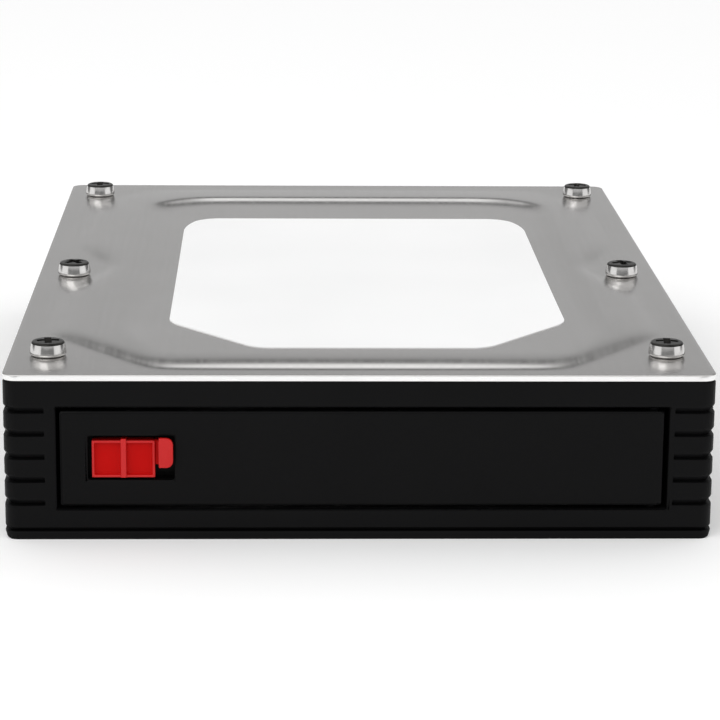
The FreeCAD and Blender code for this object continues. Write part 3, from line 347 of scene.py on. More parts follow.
def soften_outside(piece: bpy.types.Object, width: float, zone: Sequence[float],
                   angle: float = SHARP_ANGLE) -> None:
    """Break the edges of a piece, apart from those inside a zone, and shade it smooth.

    Args:
        piece: The object.
        width: Width of the broken edge in millimetres.
        zone: Lowest and highest X, then lowest and highest Z, of the zone in millimetres.
        angle: Turn in degrees above which an edge is broken.
    """
    left, right, low, high = (place * MM for place in zone)

    def is_broken(edge: bmesh.types.BMEdge) -> bool:
        """Whether an edge is sharp and not wholly inside the zone."""
        inside = all(left < vertex.co.x < right and low < vertex.co.z < high for vertex in edge.verts)
        return edge.is_manifold and edge.calc_face_angle() > math.radians(angle) and not inside

    with editing(piece, Element.EDGE):
        pick(piece, Element.EDGE, is_broken)
        bpy.ops.mesh.bevel(offset=width * MM, segments=2, affect="EDGES", clamp_overlap=False)
    smooth(piece, angle)


def smooth(piece: bpy.types.Object, angle: float) -> None:
    """Shade a piece smooth up to an angle.

    Args:
        piece: The object.
        angle: Turn in degrees above which an edge stays sharp.
    """
    only(piece)
    bpy.ops.object.shade_smooth_by_angle(angle=math.radians(angle))
    weighted = piece.modifiers.new("flat_faces", "WEIGHTED_NORMAL")
    weighted.keep_sharp = True
    apply_all(piece)


def boolean(piece: bpy.types.Object, tool: bpy.types.Object, operation: Operation) -> None:
    """Cut a tool from a piece or join it on, and remove the tool.

    Args:
        piece: The object that stays.
        tool: The object that is used up.
        operation: What the tool does.
    """
    modifier = piece.modifiers.new("shape", "BOOLEAN")
    modifier.operation = operation.value
    modifier.object = tool
    modifier.solver = "EXACT"
    apply_all(piece)
    bpy.data.objects.remove(tool)


def merge(pieces: Sequence[bpy.types.Object], name: str) -> bpy.types.Object:
    """Join objects into one.

    Args:
        pieces: The objects; the first one stays.
        name: Name of the joined object.

    Returns:
        The joined object.
    """
    only(pieces[0])
    for piece in pieces[1:]:
        piece.select_set(True)
    bpy.ops.object.join()
    return named(name)


def copied(piece: bpy.types.Object, name: str) -> bpy.types.Object:
    """Copy a piece with a mesh of its own.

    Args:
        piece: The object to copy.
        name: Name of the copy.

    Returns:
        The copy.
    """
    only(piece)
    bpy.ops.object.duplicate(linked=False)
    return named(name)


def from_node(node: str, name: str, cuts: Sequence[Sequence[float]] = ((), (), ())) -> bpy.types.Object:
    """Copy a node of the frame as a mesh of whole faces.

    Args:
        node: Name of the node.
        name: Name of the new object.
        cuts: Places along X, Y and Z, in millimetres, where its faces are cut into simple ones.

    Returns:
        The new object, whose triangles are merged into flat faces.
    """
    piece = bpy.data.objects.new(name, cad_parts[node].data.copy())
    piece.data.name = name
    piece.data.materials.clear()
    bpy.context.scene.collection.objects.link(piece)
    with editing(piece, Element.VERT):
        pick_all()
        bpy.ops.mesh.remove_doubles(threshold=NODE_WELD * MM)
        bpy.ops.mesh.dissolve_limited(angle_limit=math.radians(FLAT_ANGLE))
        for axis, places in zip(Axis, cuts):
            for place in places:
                cut_across(axis, place)
        pick_all()
        bpy.ops.mesh.vert_connect_concave()
    return piece


# Finishes

# Numbers of a colour mix's two inputs and of its result
MIX_INPUTS = (6, 7)
MIX_RESULT = 2


@dataclass
class Graph:
    """Node tree with short calls to add to it."""

    tree: bpy.types.NodeTree

    def add(self, kind: str, **inputs: Setting) -> bpy.types.Node:
        """Add a node.

        Args:
            kind: Blender's name of the node type.
            inputs: Values of its inputs, with underscores for spaces; a socket is linked.

        Returns:
            The node.
        """
        node = self.tree.nodes.new(kind)
        for key, value in inputs.items():
            self.put(node, key.replace("_", " "), value)
        return node

    def put(self, node: bpy.types.Node, key: str | int, value: Setting) -> None:
        """Set or link one input of a node.

        Args:
            node: The node.
            key: Name or number of the input.
            value: A value, or an output socket to link.
        """
        if isinstance(value, bpy.types.NodeSocket):
            self.tree.links.new(value, node.inputs[key])
        else:
            node.inputs[key].default_value = value

    def spread(self, value: bpy.types.NodeSocket, low: float, high: float,
               start: float = 0.3, end: float = 0.7) -> bpy.types.NodeSocket:
        """Map a value to another range.

        Args:
            value: Socket to map.
            low: Result at the start.
            high: Result at the end.
            start: Value that gives the low result.
            end: Value that gives the high result.

        Returns:
            The mapped value's socket.
        """
        node = self.add("ShaderNodeMapRange", Value=value)
        for index, number in enumerate((start, end, low, high), 1):
            self.put(node, index, number)
        return node.outputs["Result"]

    def blend(self, value: bpy.types.NodeSocket, low: Setting, high: Setting) -> bpy.types.NodeSocket:
        """Blend two colours by a value.

        Args:
            value: Share of the second colour.
            low: First colour, or a socket of it.
            high: Second colour, or a socket of it.

        Returns:
            The colour's socket.
        """
        node = self.add("ShaderNodeMix")
        node.data_type = "RGBA"
        self.put(node, "Factor", value)
        for index, colour in zip(MIX_INPUTS, (low, high)):
            self.put(node, index, (*colour, 1.0) if isinstance(colour, tuple) else colour)
        return node.outputs[MIX_RESULT]

    def ramp(self, value: bpy.types.NodeSocket, steps: Sequence[Point]) -> bpy.types.NodeSocket:
        """Look a value up on a ramp of greys.

        Args:
            value: Socket from 0 to 1.
            steps: Places on the ramp and their levels.

        Returns:
            The grey's socket.
        """
        node = self.add("ShaderNodeValToRGB", Fac=value)
        while len(node.color_ramp.elements) < len(steps):
            node.color_ramp.elements.new(0.5)
        for element, (place, level) in zip(node.color_ramp.elements, steps):
            element.position = place
            element.color = (level, level, level, 1)
        return node.outputs["Color"]

    def vector(self, step: VectorStep, *inputs: Setting) -> bpy.types.NodeSocket:
        """Work on vectors.

        Args:
            step: What is done to them.
            inputs: The vectors or their sockets.

        Returns:
            The result's socket.
        """
        node = self.add("ShaderNodeVectorMath")
        node.operation = step.value
        for index, value in enumerate(inputs):
            self.put(node, index, value)
        return node.outputs[0]


class Nodes(Graph):
    """Node tree of one material."""

    def __init__(self, name: str) -> None:
        """Start the material and find its shader.

        Args:
            name: Name of the material.
        """
        self.material = bpy.data.materials.new(name)
        self.material.use_nodes = True
        super().__init__(self.material.node_tree)
        self.shader = next(node for node in self.tree.nodes if node.type == "BSDF_PRINCIPLED")

    def place(self, scale: Sequence[float]) -> bpy.types.NodeSocket:
        """Object coordinates with a scale for each axis.

        Args:
            scale: Repeats for each metre along X, Y and Z.

        Returns:
            The coordinates' socket.
        """
        coordinates = self.add("ShaderNodeTexCoord")
        mapping = self.add("ShaderNodeMapping", Vector=coordinates.outputs["Object"], Scale=tuple(scale))
        return mapping.outputs["Vector"]

    def noise(self, scale: Sequence[float], detail: float = 4.0,
              rough: float = 0.5) -> bpy.types.NodeSocket:
        """Noise over the object.

        Args:
            scale: Repeats for each metre along X, Y and Z.
            detail: Layers of finer noise.
            rough: Strength of the finer layers.

        Returns:
            The noise's value socket, from 0 to 1.
        """
        node = self.add("ShaderNodeTexNoise", Vector=self.place(scale), Scale=1.0, Detail=detail,
                        Roughness=rough)
        return node.outputs["Fac"]

    def mottle(self, cloud: bpy.types.NodeSocket, dark: Colour, light: Colour) -> bpy.types.NodeSocket:
        """Colour that drifts between two shades with a cloud of noise."""
        return self.blend(self.spread(cloud, 0, 1), dark, light)

    def relief(self, height: bpy.types.NodeSocket, depth: float) -> None:
        """Give the shader a bump.

        Args:
            height: Socket of the relief, from 0 to 1.
            depth: Height of the relief in millimetres.
        """
        bump = self.add("ShaderNodeBump", Height=height, Distance=depth * MM, Strength=1.0)
        self.put(self.shader, "Normal", bump.outputs["Normal"])

    def finish(self, **inputs: Setting) -> bpy.types.Material:
        """Set the shader's inputs.

        Args:
            inputs: Values or sockets, with underscores for spaces.

        Returns:
            The material.
        """
        for key, value in inputs.items():
            self.put(self.shader, key.replace("_", " "), value)
        return self.material


@dataclass(frozen=True)
class Finish(ABC):
    """Surface of a piece: its name, its two shades and the range of its roughness.

    A cloud, a grain and lines are given in repeats for each metre.
    """

    name: str
    dark: Colour
    light: Colour
    roughness: Point

    @abstractmethod
    def material(self) -> bpy.types.Material:
        """Make the material."""


@dataclass(frozen=True)
class GrainedSurface(Finish):
    """Moulded plastic, film or ceramic with a fine grain and slight shade changes."""

    specular: float
    grain: float
    grain_depth: float
    cloud: float = 60.0

    def material(self) -> bpy.types.Material:
        """Make the material.

        Returns:
            The material.
        """
        nodes = Nodes(self.name)
        cloud = nodes.noise((self.cloud,) * 3, detail=3.0)
        nodes.relief(nodes.noise((self.grain,) * 3, detail=2.0), self.grain_depth)
        return nodes.finish(Base_Color=nodes.mottle(cloud, self.dark, self.light),
                            Roughness=nodes.spread(cloud, *self.roughness),
                            Specular_IOR_Level=self.specular)


@dataclass(frozen=True)
class RolledSheet(Finish):
    """Bare sheet metal with fine lines along the way it was rolled."""

    lines: tuple[float, float, float]
    line_depth: float
    draw_out: float = 0.0
    cloud: float = 35.0

    def material(self) -> bpy.types.Material:
        """Make the material.

        Returns:
            The material.
        """
        nodes = Nodes(self.name)
        lines = nodes.noise(self.lines, detail=5.0, rough=0.6)
        cloud = nodes.noise((self.cloud,) * 3, rough=0.6)
        nodes.relief(lines, self.line_depth)
        if self.draw_out:
            tangent = nodes.add("ShaderNodeTangent")
            tangent.direction_type = "UV_MAP"
            nodes.finish(Anisotropic=self.draw_out, Tangent=tangent.outputs["Tangent"])
        return nodes.finish(Base_Color=nodes.mottle(cloud, self.dark, self.light), Metallic=1.0,
                            Roughness=nodes.spread(lines, *self.roughness))


@dataclass(frozen=True)
class PlatedMetal(Finish):
    """Plated small metal parts with a slightly uneven sheen."""

    cloud: float = 900.0
    cloud_depth: float = 0.004

    def material(self) -> bpy.types.Material:
        """Make the material.

        Returns:
            The material.
        """
        nodes = Nodes(self.name)
        cloud = nodes.noise((self.cloud,) * 3, detail=3.0)
        nodes.relief(cloud, self.cloud_depth)
        return nodes.finish(Base_Color=nodes.mottle(cloud, self.dark, self.light), Metallic=1.0,
                            Roughness=nodes.spread(cloud, *self.roughness))


@dataclass(frozen=True)
class SolderMask(Finish):
    """Circuit board lacquer, lighter over the faint conductor lines under it."""

    track_width: float = 0.22
    track_length: float = 9.0
    track_pitch: float = 1.1
    track_depth: float = 0.03
    track_edge: Point = (0.2, 0.8)
    cloud: float = 90.0

    def material(self) -> bpy.types.Material:
        """Make the material.

        Returns:
            The material.
        """
        nodes = Nodes(self.name)
        brick = nodes.add("ShaderNodeTexBrick", Vector=nodes.place((1, 1, 1)), Scale=1.0,
                          Mortar_Size=self.track_width * MM, Brick_Width=self.track_length * MM,
                          Row_Height=self.track_pitch * MM)
        tracks = nodes.spread(brick.outputs["Fac"], 0, 1, *self.track_edge)
        nodes.relief(tracks, self.track_depth)
        return nodes.finish(Base_Color=nodes.blend(tracks, self.dark, self.light),
                            Roughness=nodes.spread(nodes.noise((self.cloud,) * 3), *self.roughness))


BLACK = GrainedSurface("black_moulded_plastic", (0.0034, 0.0034, 0.0036), (0.0046, 0.0046, 0.0049),
                       (0.42, 0.55), specular=0.08, grain=3200.0, grain_depth=0.012)
RED = GrainedSurface("red_moulded_plastic", (0.50, 0.0030, 0.0024), (0.54, 0.0038, 0.0030),
                     (0.28, 0.36), specular=0.06, grain=2400.0, grain_depth=0.004)
# Painted highlight: a lighter red for the fronts of the slider's bead, borders and lip.
RED_HIGHLIGHT = GrainedSurface("rubbed_red_edges", (0.55, 0.020, 0.020), (0.60, 0.030, 0.031),
                            (0.24, 0.32), specular=0.1, grain=2400.0, grain_depth=0.004)
CERAMIC = GrainedSurface("fired_ceramic", (0.28, 0.19, 0.12), (0.36, 0.26, 0.17),
                         (0.45, 0.6), specular=0.4, grain=2500.0, grain_depth=0.006)
FILM = GrainedSurface("white_film", (0.93, 0.93, 0.93), (0.96, 0.96, 0.96),
                      (0.42, 0.55), specular=0.3, grain=1800.0, grain_depth=0.004, cloud=25.0)
LID = RolledSheet("rolled_lid_sheet", (0.55, 0.54, 0.53), (0.59, 0.58, 0.57), (0.19, 0.25),
                  lines=(1500, 40, 400), line_depth=0.0006, draw_out=0.8)
# Painted highlight: the lid's sheared rim is coloured near white, much lighter than the sheet.
RIM_HIGHLIGHT = RolledSheet("sheared_sheet_edge", (0.88, 0.875, 0.87), (0.96, 0.955, 0.95), (0.25, 0.35),
                       lines=(300, 300, 3000), line_depth=0.003)
PLATED = PlatedMetal("plated_screw_steel", (0.58, 0.57, 0.56), (0.68, 0.67, 0.66), (0.12, 0.2))
# Painted dark reflection: the screw tops are coloured near black.
TOP_SHADE = PlatedMetal("dulled_screw_top", (0.024, 0.023, 0.022), (0.038, 0.037, 0.035), (0.3, 0.4))
# Painted shade: the cross recesses are coloured near black.
RECESS = PlatedMetal("dark_screw_recess", (0.020, 0.019, 0.018), (0.040, 0.038, 0.036), (0.4, 0.55))
# Painted shade: the hinge pin is coloured near black so that it reads as shade in the gap above the door.
PIN_SHADE = PlatedMetal("blackened_pin_steel", (0.006, 0.006, 0.0065), (0.009, 0.009, 0.0095), (0.5, 0.6))
GOLD = PlatedMetal("plated_contacts", (0.78, 0.56, 0.22), (0.86, 0.66, 0.30), (0.2, 0.3))
BRASS = PlatedMetal("turned_brass", (0.62, 0.44, 0.17), (0.72, 0.54, 0.25), (0.22, 0.34))
MASK = SolderMask("board_lacquer", (0.008, 0.085, 0.03), (0.016, 0.15, 0.05), (0.28, 0.4))


def paint_zones(piece: bpy.types.Object, finishes: Sequence[Finish],
                zone: Callable[[Vector, Vector], int]) -> None:
    """Give a piece several finishes, each on its own zone of faces.

    Args:
        piece: The object.
        finishes: The finishes, in the order of the zones' numbers.
        zone: Number of a face's zone, from its middle in millimetres and its normal.
    """
    for finish in finishes:
        piece.data.materials.append(finish.material())
    for face in piece.data.polygons:
        face.material_index = int(zone(face.center / MM, face.normal))


def dress(piece: bpy.types.Object, finishes: Sequence[bpy.types.Material], body: Body, slot: Slot,
          *nodes: str) -> bpy.types.Object:
    """Give a finished piece its finishes, its body and the nodes it stands for.

    Args:
        piece: The object.
        finishes: Materials that are added to it, in the order of its faces' numbers.
        body: Body it moves with.
        slot: Material slot of the record; not used.
        nodes: Nodes that it replaces.

    Returns:
        The same object.
    """
    for finish in finishes:
        piece.data.materials.append(finish)
    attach(piece, body.value)
    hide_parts(*nodes)
    return piece


# Lid, sticker and lid screws


@dataclass(frozen=True)
class PressedSide:
    """One straight side of a pressed field, with the field on its left."""

    start: Point
    end: Point
    outer: float
    inner: float
    eased: float = 0.0
    ease: Point = (4.0, 24.0)

    def share(self, points: np.ndarray) -> np.ndarray:
        """Share of the full height that the press reaches, steepest on the side and easing inwards.

        Args:
            points: Points in millimetres, one in each row.

        Returns:
            Shares from nought outside to one inside.
        """
        along = np.subtract(self.end, self.start)
        normal = np.array([-along[1], along[0]]) / np.hypot(*along)
        depth = (points - np.array(self.start)) @ normal
        crisp = self.slope(depth, self.outer, self.inner)
        return crisp + self.eased * (self.slope(depth, *self.ease) - crisp)

    @staticmethod
    def slope(depth: np.ndarray, outer: float, inner: float) -> np.ndarray:
        """Rise from nought to one over a slope, steepest on the line.

        Args:
            depth: Distances inside the line in millimetres.
            outer: Width of the slope outside the line.
            inner: Width of the slope inside the line.

        Returns:
            The rise at each distance.
        """
        outside = np.clip(depth / outer, -1, 0)
        inside = np.clip(depth / inner, 0, 1)
        return (outer * (1 + outside) ** 3 + inner * (1 - (1 - inside) ** 3)) / (outer + inner)


@dataclass
class StampedLid:
    """Lid stamped from one sheet: a raised field with a sunken panel inside it.

    A press gives the widths of a slope outside and inside its line, and the share that is eased.
    """

    half_width: float = 50.8
    front: float = -72.7
    back: float = 73.5
    top: float = 24.2
    thickness: float = 0.8
    corner: float = 2.0
    corner_steps: int = 8
    edge: float = 0.06
    edge_angle: float = 60.0
    rim_tilt: float = 0.3
    cell: float = 0.7
    unwrap_size: float = 100.0
    raise_by: float = 0.43
    sink_by: float = 0.66
    field_right: Sequence[Point] = ((29.7, -68.1), (45.4, -47.9), (45.4, 52.1), (37.2, 67.5))
    field_press: Sequence[float] = (2.0, 7.0)
    field_back_press: Sequence[float] = (4.0, 16.0)
    field_corner_press: Sequence[float] = (1.6, 5.0, 0.3)
    notch: Sequence[Point] = ((45.4, 16.3), (39.9, 2.6), (39.9, -5.4), (45.4, -19.1))
    notch_press: Sequence[float] = (5.0, 2.0)
    panel: Sequence[Point] = ((32.3, -60.2), (37.4, -45.3), (37.4, 52.6), (30.8, 58.8),
                              (-28.1, 58.8), (-34.7, 52.6), (-34.7, -45.3), (-29.6, -60.2))
    panel_press: Sequence[float] = (2.2, 4.8)
    panel_back_press: Sequence[float] = (3.6, 7.4)
    panel_front_press: Sequence[float] = (2.0, 100.0)
    screw_places: Sequence[Point] = ((45.1, -60.4), (45.1, -6.1), (45.1, 63.5))
    hole_radius: float = 1.7
    drill_length: float = 4.0
    drill_sides: int = 32

    def screw_spots(self) -> list[Point]:
        """Places of the six screws, in pairs from the front, each pair from the left."""
        return [(sign * x, y) for x, y in self.screw_places for sign in (-1, 1)]

    def field_sides(self) -> list[PressedSide]:
        """Sides of the raised field, from the right front corner round to the front.

        Returns:
            The sides, with their presses.
        """
        corners = [*self.field_right, *((-x, y) for x, y in reversed(self.field_right))]
        side, back, corner = self.field_press, self.field_back_press, self.field_corner_press
        return self.sides(corners, (corner, side, back, back, back, side, corner, side))

    def notch_sides(self) -> list[PressedSide]:
        """Sides of the notch that leaves room for the right middle screw, open outwards."""
        return self.sides(self.notch, (self.notch_press,) * 3)

    def panel_sides(self) -> list[PressedSide]:
        """Sides of the sunken panel, which runs out flush at the front and is deepest at the back.

        Returns:
            The sides, with their presses.
        """
        side, back, front = self.panel_press, self.panel_back_press, self.panel_front_press
        return self.sides(self.panel, (side, side, back, back, back, side, side, front))

    @staticmethod
    def sides(corners: Sequence[Point], presses: Sequence[Sequence[float]]) -> list[PressedSide]:
        """Sides of an outline, as many as there are presses.

        Args:
            corners: Corners in order, with the inside on the left.
            presses: The press of each side.

        Returns:
            A side from each corner to the next.
        """
        ends = [*corners[1:], corners[0]]
        return [PressedSide(a, b, *press) for a, b, press in zip(corners, ends, presses)]

    def shares(self, points: np.ndarray) -> tuple[np.ndarray, np.ndarray]:
        """How far each point is raised and sunk, from nought to one.

        Args:
            points: Points in millimetres, one in each row.

        Returns:
            Shares of the raised field and of the sunken panel.
        """
        raised = np.prod([side.share(points) for side in self.field_sides()], axis=0)
        for sign in (1, -1):
            raised *= 1 - np.prod([side.share(points * (sign, 1)) for side in self.notch_sides()], axis=0)
        return raised, np.prod([side.share(points) for side in self.panel_sides()], axis=0)

    def build(self) -> list[bpy.types.Object]:
        """Make the lid.

        Returns:
            The finished piece.
        """
        corners = [(self.half_width, self.front), (self.half_width, self.back),
                   (-self.half_width, self.back), (-self.half_width, self.front)]
        lid = outline("stamped_lid", corners, self.top)
        round_corners(lid, self.corner, self.corner_steps)
        self.divide(lid)
        self.stamp(lid)
        sheet = lid.modifiers.new("sheet", "SOLIDIFY")
        sheet.thickness = self.thickness * MM
        sheet.offset = -1
        sheet.use_even_offset = True
        apply_all(lid)
        self.pierce(lid)
        soften(lid, self.edge, angle=self.edge_angle)
        with editing(lid):
            pick_all()
            bpy.ops.uv.cube_project(cube_size=self.unwrap_size * MM)
        # The sheared rim gets a painted highlight in near white.
        paint_zones(lid, (LID, RIM_HIGHLIGHT), self.is_highlit_rim)
        return [dress(lid, [], Body.CHASSIS, Slot.LID_STEEL, "top_cover")]

    def is_highlit_rim(self, place: Vector, normal: Vector) -> bool:
        """Whether a face lies on the sheared rim, which gets the painted highlight.

        Args:
            place: Middle of the face in millimetres.
            normal: Its direction.

        Returns:
            True on the rim.
        """
        inner = (self.half_width - self.corner, self.front + self.corner, self.back - self.corner)
        outside = abs(place.x) > inner[0] or place.y < inner[1] or place.y > inner[2]
        return outside and abs(normal.z) < self.rim_tilt

    def divide(self, sheet: bpy.types.Object) -> None:
        """Cut a flat sheet into small cells, so that it can be stamped.

        Args:
            sheet: Flat sheet of one face.
        """
        with editing(sheet):
            for axis in (Axis.X, Axis.Y):
                ends = [vertex.co[axis] for vertex in bmesh.from_edit_mesh(sheet.data).verts]
                low, high = min(ends), max(ends)
                cells = round((high - low) / (self.cell * MM))
                for index in range(1, cells):
                    cut_across(axis, low + (high - low) * index / cells, METRE)

    def stamp(self, sheet: bpy.types.Object) -> None:
        """Raise the field and sink the panel.

        Args:
            sheet: Flat sheet of small cells.
        """
        places = np.zeros(len(sheet.data.vertices) * 3)
        sheet.data.vertices.foreach_get("co", places)
        shares = self.shares(places.reshape(-1, 3)[:, :2] / MM)
        names = ("raised_field", "sunken_panel")
        for name, share, height in zip(names, shares, (self.raise_by, -self.sink_by)):
            group = sheet.vertex_groups.new(name=name)
            for index in np.flatnonzero(share > 0):
                group.add([int(index)], float(share[index]), "REPLACE")
            press = sheet.modifiers.new(name, "DISPLACE")
            press.direction = "Z"
            press.mid_level = 0
            press.strength = height * MM
            press.vertex_group = name
        apply_all(sheet)
        sheet.vertex_groups.clear()

    def pierce(self, lid: bpy.types.Object) -> None:
        """Cut the six screw holes.

        Args:
            lid: Stamped sheet.
        """
        drills = [settle(begin(bpy.ops.mesh.primitive_cylinder_add, "drill", vertices=self.drill_sides,
                               radius=self.hole_radius * MM, depth=self.drill_length * MM,
                               location=(x * MM, y * MM, self.top * MM)))
                  for x, y in self.screw_spots()]
        boolean(lid, merge(drills, "drills"), Operation.DIFFERENCE)


@dataclass
class Sticker:
    """Plain white film sticker that lies on the sunken panel."""

    lid: StampedLid
    corners: Sequence[Point] = ((19.0, -57.9), (32.3, -40.7), (32.3, 34.0), (29.6, 41.6),
                                (-25.6, 41.6), (-28.3, 34.0), (-28.3, -40.7), (-15.0, -57.9))
    thickness: float = 0.12
    front_round: float = 2.2
    front_end: float = -38.0
    back_round: float = 3.4
    back_end: float = 20.0
    round_steps: int = 6

    def build(self) -> list[bpy.types.Object]:
        """Make the sticker.

        Returns:
            The finished piece.
        """
        film = outline("cover_sticker", self.corners, self.lid.top)
        round_corners(film, self.back_round, self.round_steps,
                      lambda vertex: vertex.co.y > self.back_end * MM)
        round_corners(film, self.front_round, self.round_steps,
                      lambda vertex: vertex.co.y < self.front_end * MM)
        self.lid.divide(film)
        self.lid.stamp(film)
        with editing(film):
            pick_all()
            push_out((0, 0, self.thickness))
            pick_all()
            bpy.ops.mesh.normals_make_consistent(inside=False)
        smooth(film, ROUND_ANGLE)
        return [dress(film, [FILM.material()], Body.CHASSIS, Slot.LABEL_FILM, "cover_label")]


@dataclass
class CrossScrew:
    """Pan-head screw with a cross recess and a thread, standing on the plane under its head.

    The seat is the lower end of the head's side, as insets from its radius and heights. The thread
    form is the heights of the ridge's four points, as shares of the pitch.
    """

    head_radius: float = 2.7
    head_height: float = 2.25
    top_radius: float = 2.44
    crown: float = 0.12
    crown_step: float = 0.6
    shoulder: float = 0.42
    shoulder_turn: float = 78.0
    shoulder_points: int = 7
    seat: Sequence[Point] = ((0.0, 0.6), (0.05, 0.3), (0.2, 0.09), (0.38, 0.0))
    edge: float = 0.05
    core_radius: float = 1.2
    length: float = 9.0
    point_radius: float = 0.48
    point_length: float = 0.6
    thread_radius: float = 1.5
    thread_root: float = 1.185
    thread_start: float = 0.7
    thread_length: float = 7.5
    pitch: float = 0.8
    thread_form: Sequence[float] = (0.0, 0.4, 0.5, 0.9)
    recess_width: float = 3.7
    recess_arm: float = 1.15
    recess_depth: float = 1.5
    recess_taper: float = 0.6
    cutter_rise: float = 0.5
    zone_margin: float = 0.1
    # Height and tilt of the top faces that get the painted dark reflection.
    top_shade_depth: float = 0.36
    top_shade_tilt: float = 0.22
    steps: int = 48
    weld: float = 0.001

    def head_section(self) -> list[Point]:
        """Half section of the head, from the axis over the crown and down the tapered side to the seat.

        Returns:
            Points (radius, height) in millimetres.
        """
        flat = self.top_radius - self.shoulder
        rim = self.head_height - self.crown
        turns = np.linspace(0, math.radians(self.shoulder_turn), self.shoulder_points)
        arc = [(flat + self.shoulder * math.sin(turn), rim - self.shoulder * (1 - math.cos(turn)))
               for turn in turns]
        seat = [(self.head_radius - inset, height) for inset, height in self.seat]
        dome = (self.crown_step * flat, self.head_height - self.crown_step ** 2 * self.crown)
        return [(0.0, self.head_height), dome, *arc, *seat, (self.core_radius, 0.0)]

    def shank_section(self) -> list[Point]:
        """Half section of the plain core, from under the head to the point."""
        return [(self.core_radius, 0.0), (self.core_radius, self.point_length - self.length),
                (self.point_radius, -self.length), (0.0, -self.length)]

    def turned(self, name: str, section: Sequence[Point]) -> bpy.types.Object:
        """Turn a half section about the Z axis.

        Args:
            name: Name of the new object.
            section: Points (radius, height) in millimetres.

        Returns:
            The new object.
        """
        piece = begin(bpy.ops.mesh.primitive_plane_add, name, size=MM)
        with editing(piece, Element.VERT):
            pick(piece, Element.VERT, lambda vertex: vertex.index != 0)
            bpy.ops.mesh.delete(type="VERT")
        piece.data.vertices[0].co = (section[0][0] * MM, 0, section[0][1] * MM)
        with editing(piece, Element.VERT):
            pick_all()
            for (r0, z0), (r1, z1) in zip(section, section[1:]):
                step = ((r1 - r0) * MM, 0, (z1 - z0) * MM)
                bpy.ops.mesh.extrude_vertices_move(TRANSFORM_OT_translate={"value": step})
            pick_all()
            bpy.ops.mesh.spin(steps=self.steps, angle=2 * math.pi, center=(0, 0, 0), axis=(0, 0, 1))
            pick_all()
            bpy.ops.mesh.remove_doubles(threshold=self.weld * MM)
            bpy.ops.mesh.normals_make_consistent(inside=False)
        return piece

    def thread(self) -> bpy.types.Object:
        """Make the thread's ridge.

        Returns:
            The ridge, as one turned strip.
        """
        ridge = begin(bpy.ops.mesh.primitive_plane_add, "thread_ridge", size=MM)
        with editing(ridge):
            pick_all()
            bpy.ops.mesh.delete(type="ONLY_FACE")
        low = self.thread_start - self.length
        radii = (self.thread_root, self.thread_radius, self.thread_radius, self.thread_root)
        for index, radius, share in zip(self.chain(ridge), radii, self.thread_form):
            ridge.data.vertices[index].co = (radius * MM, 0, (low + share * self.pitch) * MM)
        screw = ridge.modifiers.new("thread", "SCREW")
        screw.axis = "Z"
        screw.angle = 2 * math.pi
        screw.screw_offset = self.pitch * MM
        screw.iterations = int(self.thread_length / self.pitch)
        screw.steps = screw.render_steps = self.steps // 2
        screw.use_normal_calculate = True
        apply_all(ridge)
        return ridge

    @staticmethod
    def chain(piece: bpy.types.Object) -> list[int]:
        """Find the order of the vertices around a ring of edges.

        Args:
            piece: Object that is one ring of edges.

        Returns:
            Numbers of the vertices in their order.
        """
        mesh = piece.data
        order = [0]
        while len(order) < len(mesh.vertices):
            linked = [other for edge in mesh.edges for other in edge.vertices
                      if order[-1] in edge.vertices and other not in order]
            order.append(linked[0])
        return order

    def recess(self) -> bpy.types.Object:
        """Make the cutter of the cross recess, narrower towards its floor.

        Returns:
            The cutter.
        """
        arms = []
        top = self.head_height + self.cutter_rise
        floor = self.head_height - self.recess_depth
        half = (self.recess_width / 2, self.recess_arm / 2)
        for x, y in (half, half[::-1]):
            arm = block("recess_arm", (-x, -y, floor), (x, y, top))
            for vertex in arm.data.vertices:
                if vertex.co.z < (floor + NEAR) * MM:
                    vertex.co.x *= self.recess_taper
                    vertex.co.y *= self.recess_taper
            arms.append(arm)
        boolean(arms[0], arms[1], Operation.UNION)
        return arms[0]

    def build(self, name: str) -> bpy.types.Object:
        """Make the screw at the origin.

        Args:
            name: Name of the new object.

        Returns:
            The screw.
        """
        head = self.turned("screw_head", self.head_section() + self.shank_section())
        boolean(head, self.recess(), Operation.DIFFERENCE)
        soften(head, self.edge, angle=ROUND_ANGLE)
        screw = merge([head, self.thread()], name)
        # The top gets a painted dark reflection and the recess painted shade; the side keeps the plating.
        paint_zones(screw, (PLATED, TOP_SHADE, RECESS), self.zone)
        return screw

    def zone(self, place: Vector, normal: Vector) -> ScrewZone:
        """Zone of the screw at a place: painted shade in the recess, a painted dark reflection on the
        top, plating on the side.

        Args:
            place: Middle of a face in millimetres.
            normal: Its direction.

        Returns:
            The zone.
        """
        rim = self.head_height - self.crown
        floor = self.head_height - self.recess_depth
        in_recess = math.hypot(place.x, place.y) < self.recess_width / 2
        if in_recess and floor - self.zone_margin < place.z < rim - self.zone_margin:
            return ScrewZone.RECESS
        if place.z >= rim - self.top_shade_depth and normal.z > self.top_shade_tilt:
            return ScrewZone.TOP
        return ScrewZone.SIDE


@dataclass
class LidScrews:
    """Six screws that hold the lid."""

    lid: StampedLid
    turns: Sequence[float] = (6.0, 84.0, 40.0, 12.0, 0.0, 80.0)

    def build(self) -> list[bpy.types.Object]:
        """Make the screws.

        Returns:
            The finished piece.
        """
        pattern = CrossScrew().build("lid_screw")
        copies = []
        for (x, y), turn in zip(self.lid.screw_spots(), self.turns):
            screw = copied(pattern, "lid_screw_copy")
            screw.data.transform(Matrix.Translation(Vector((x, y, self.lid.top)) * MM)
                                 @ Matrix.Rotation(math.radians(turn), 4, "Z"))
            copies.append(screw)
        bpy.data.objects.remove(pattern)
        screws = merge(copies, "lid_cross_screws")
        smooth(screws, ROUND_ANGLE)
        return [dress(screws, [], Body.CHASSIS, Slot.SCREW_STEEL, "cover_screws")]


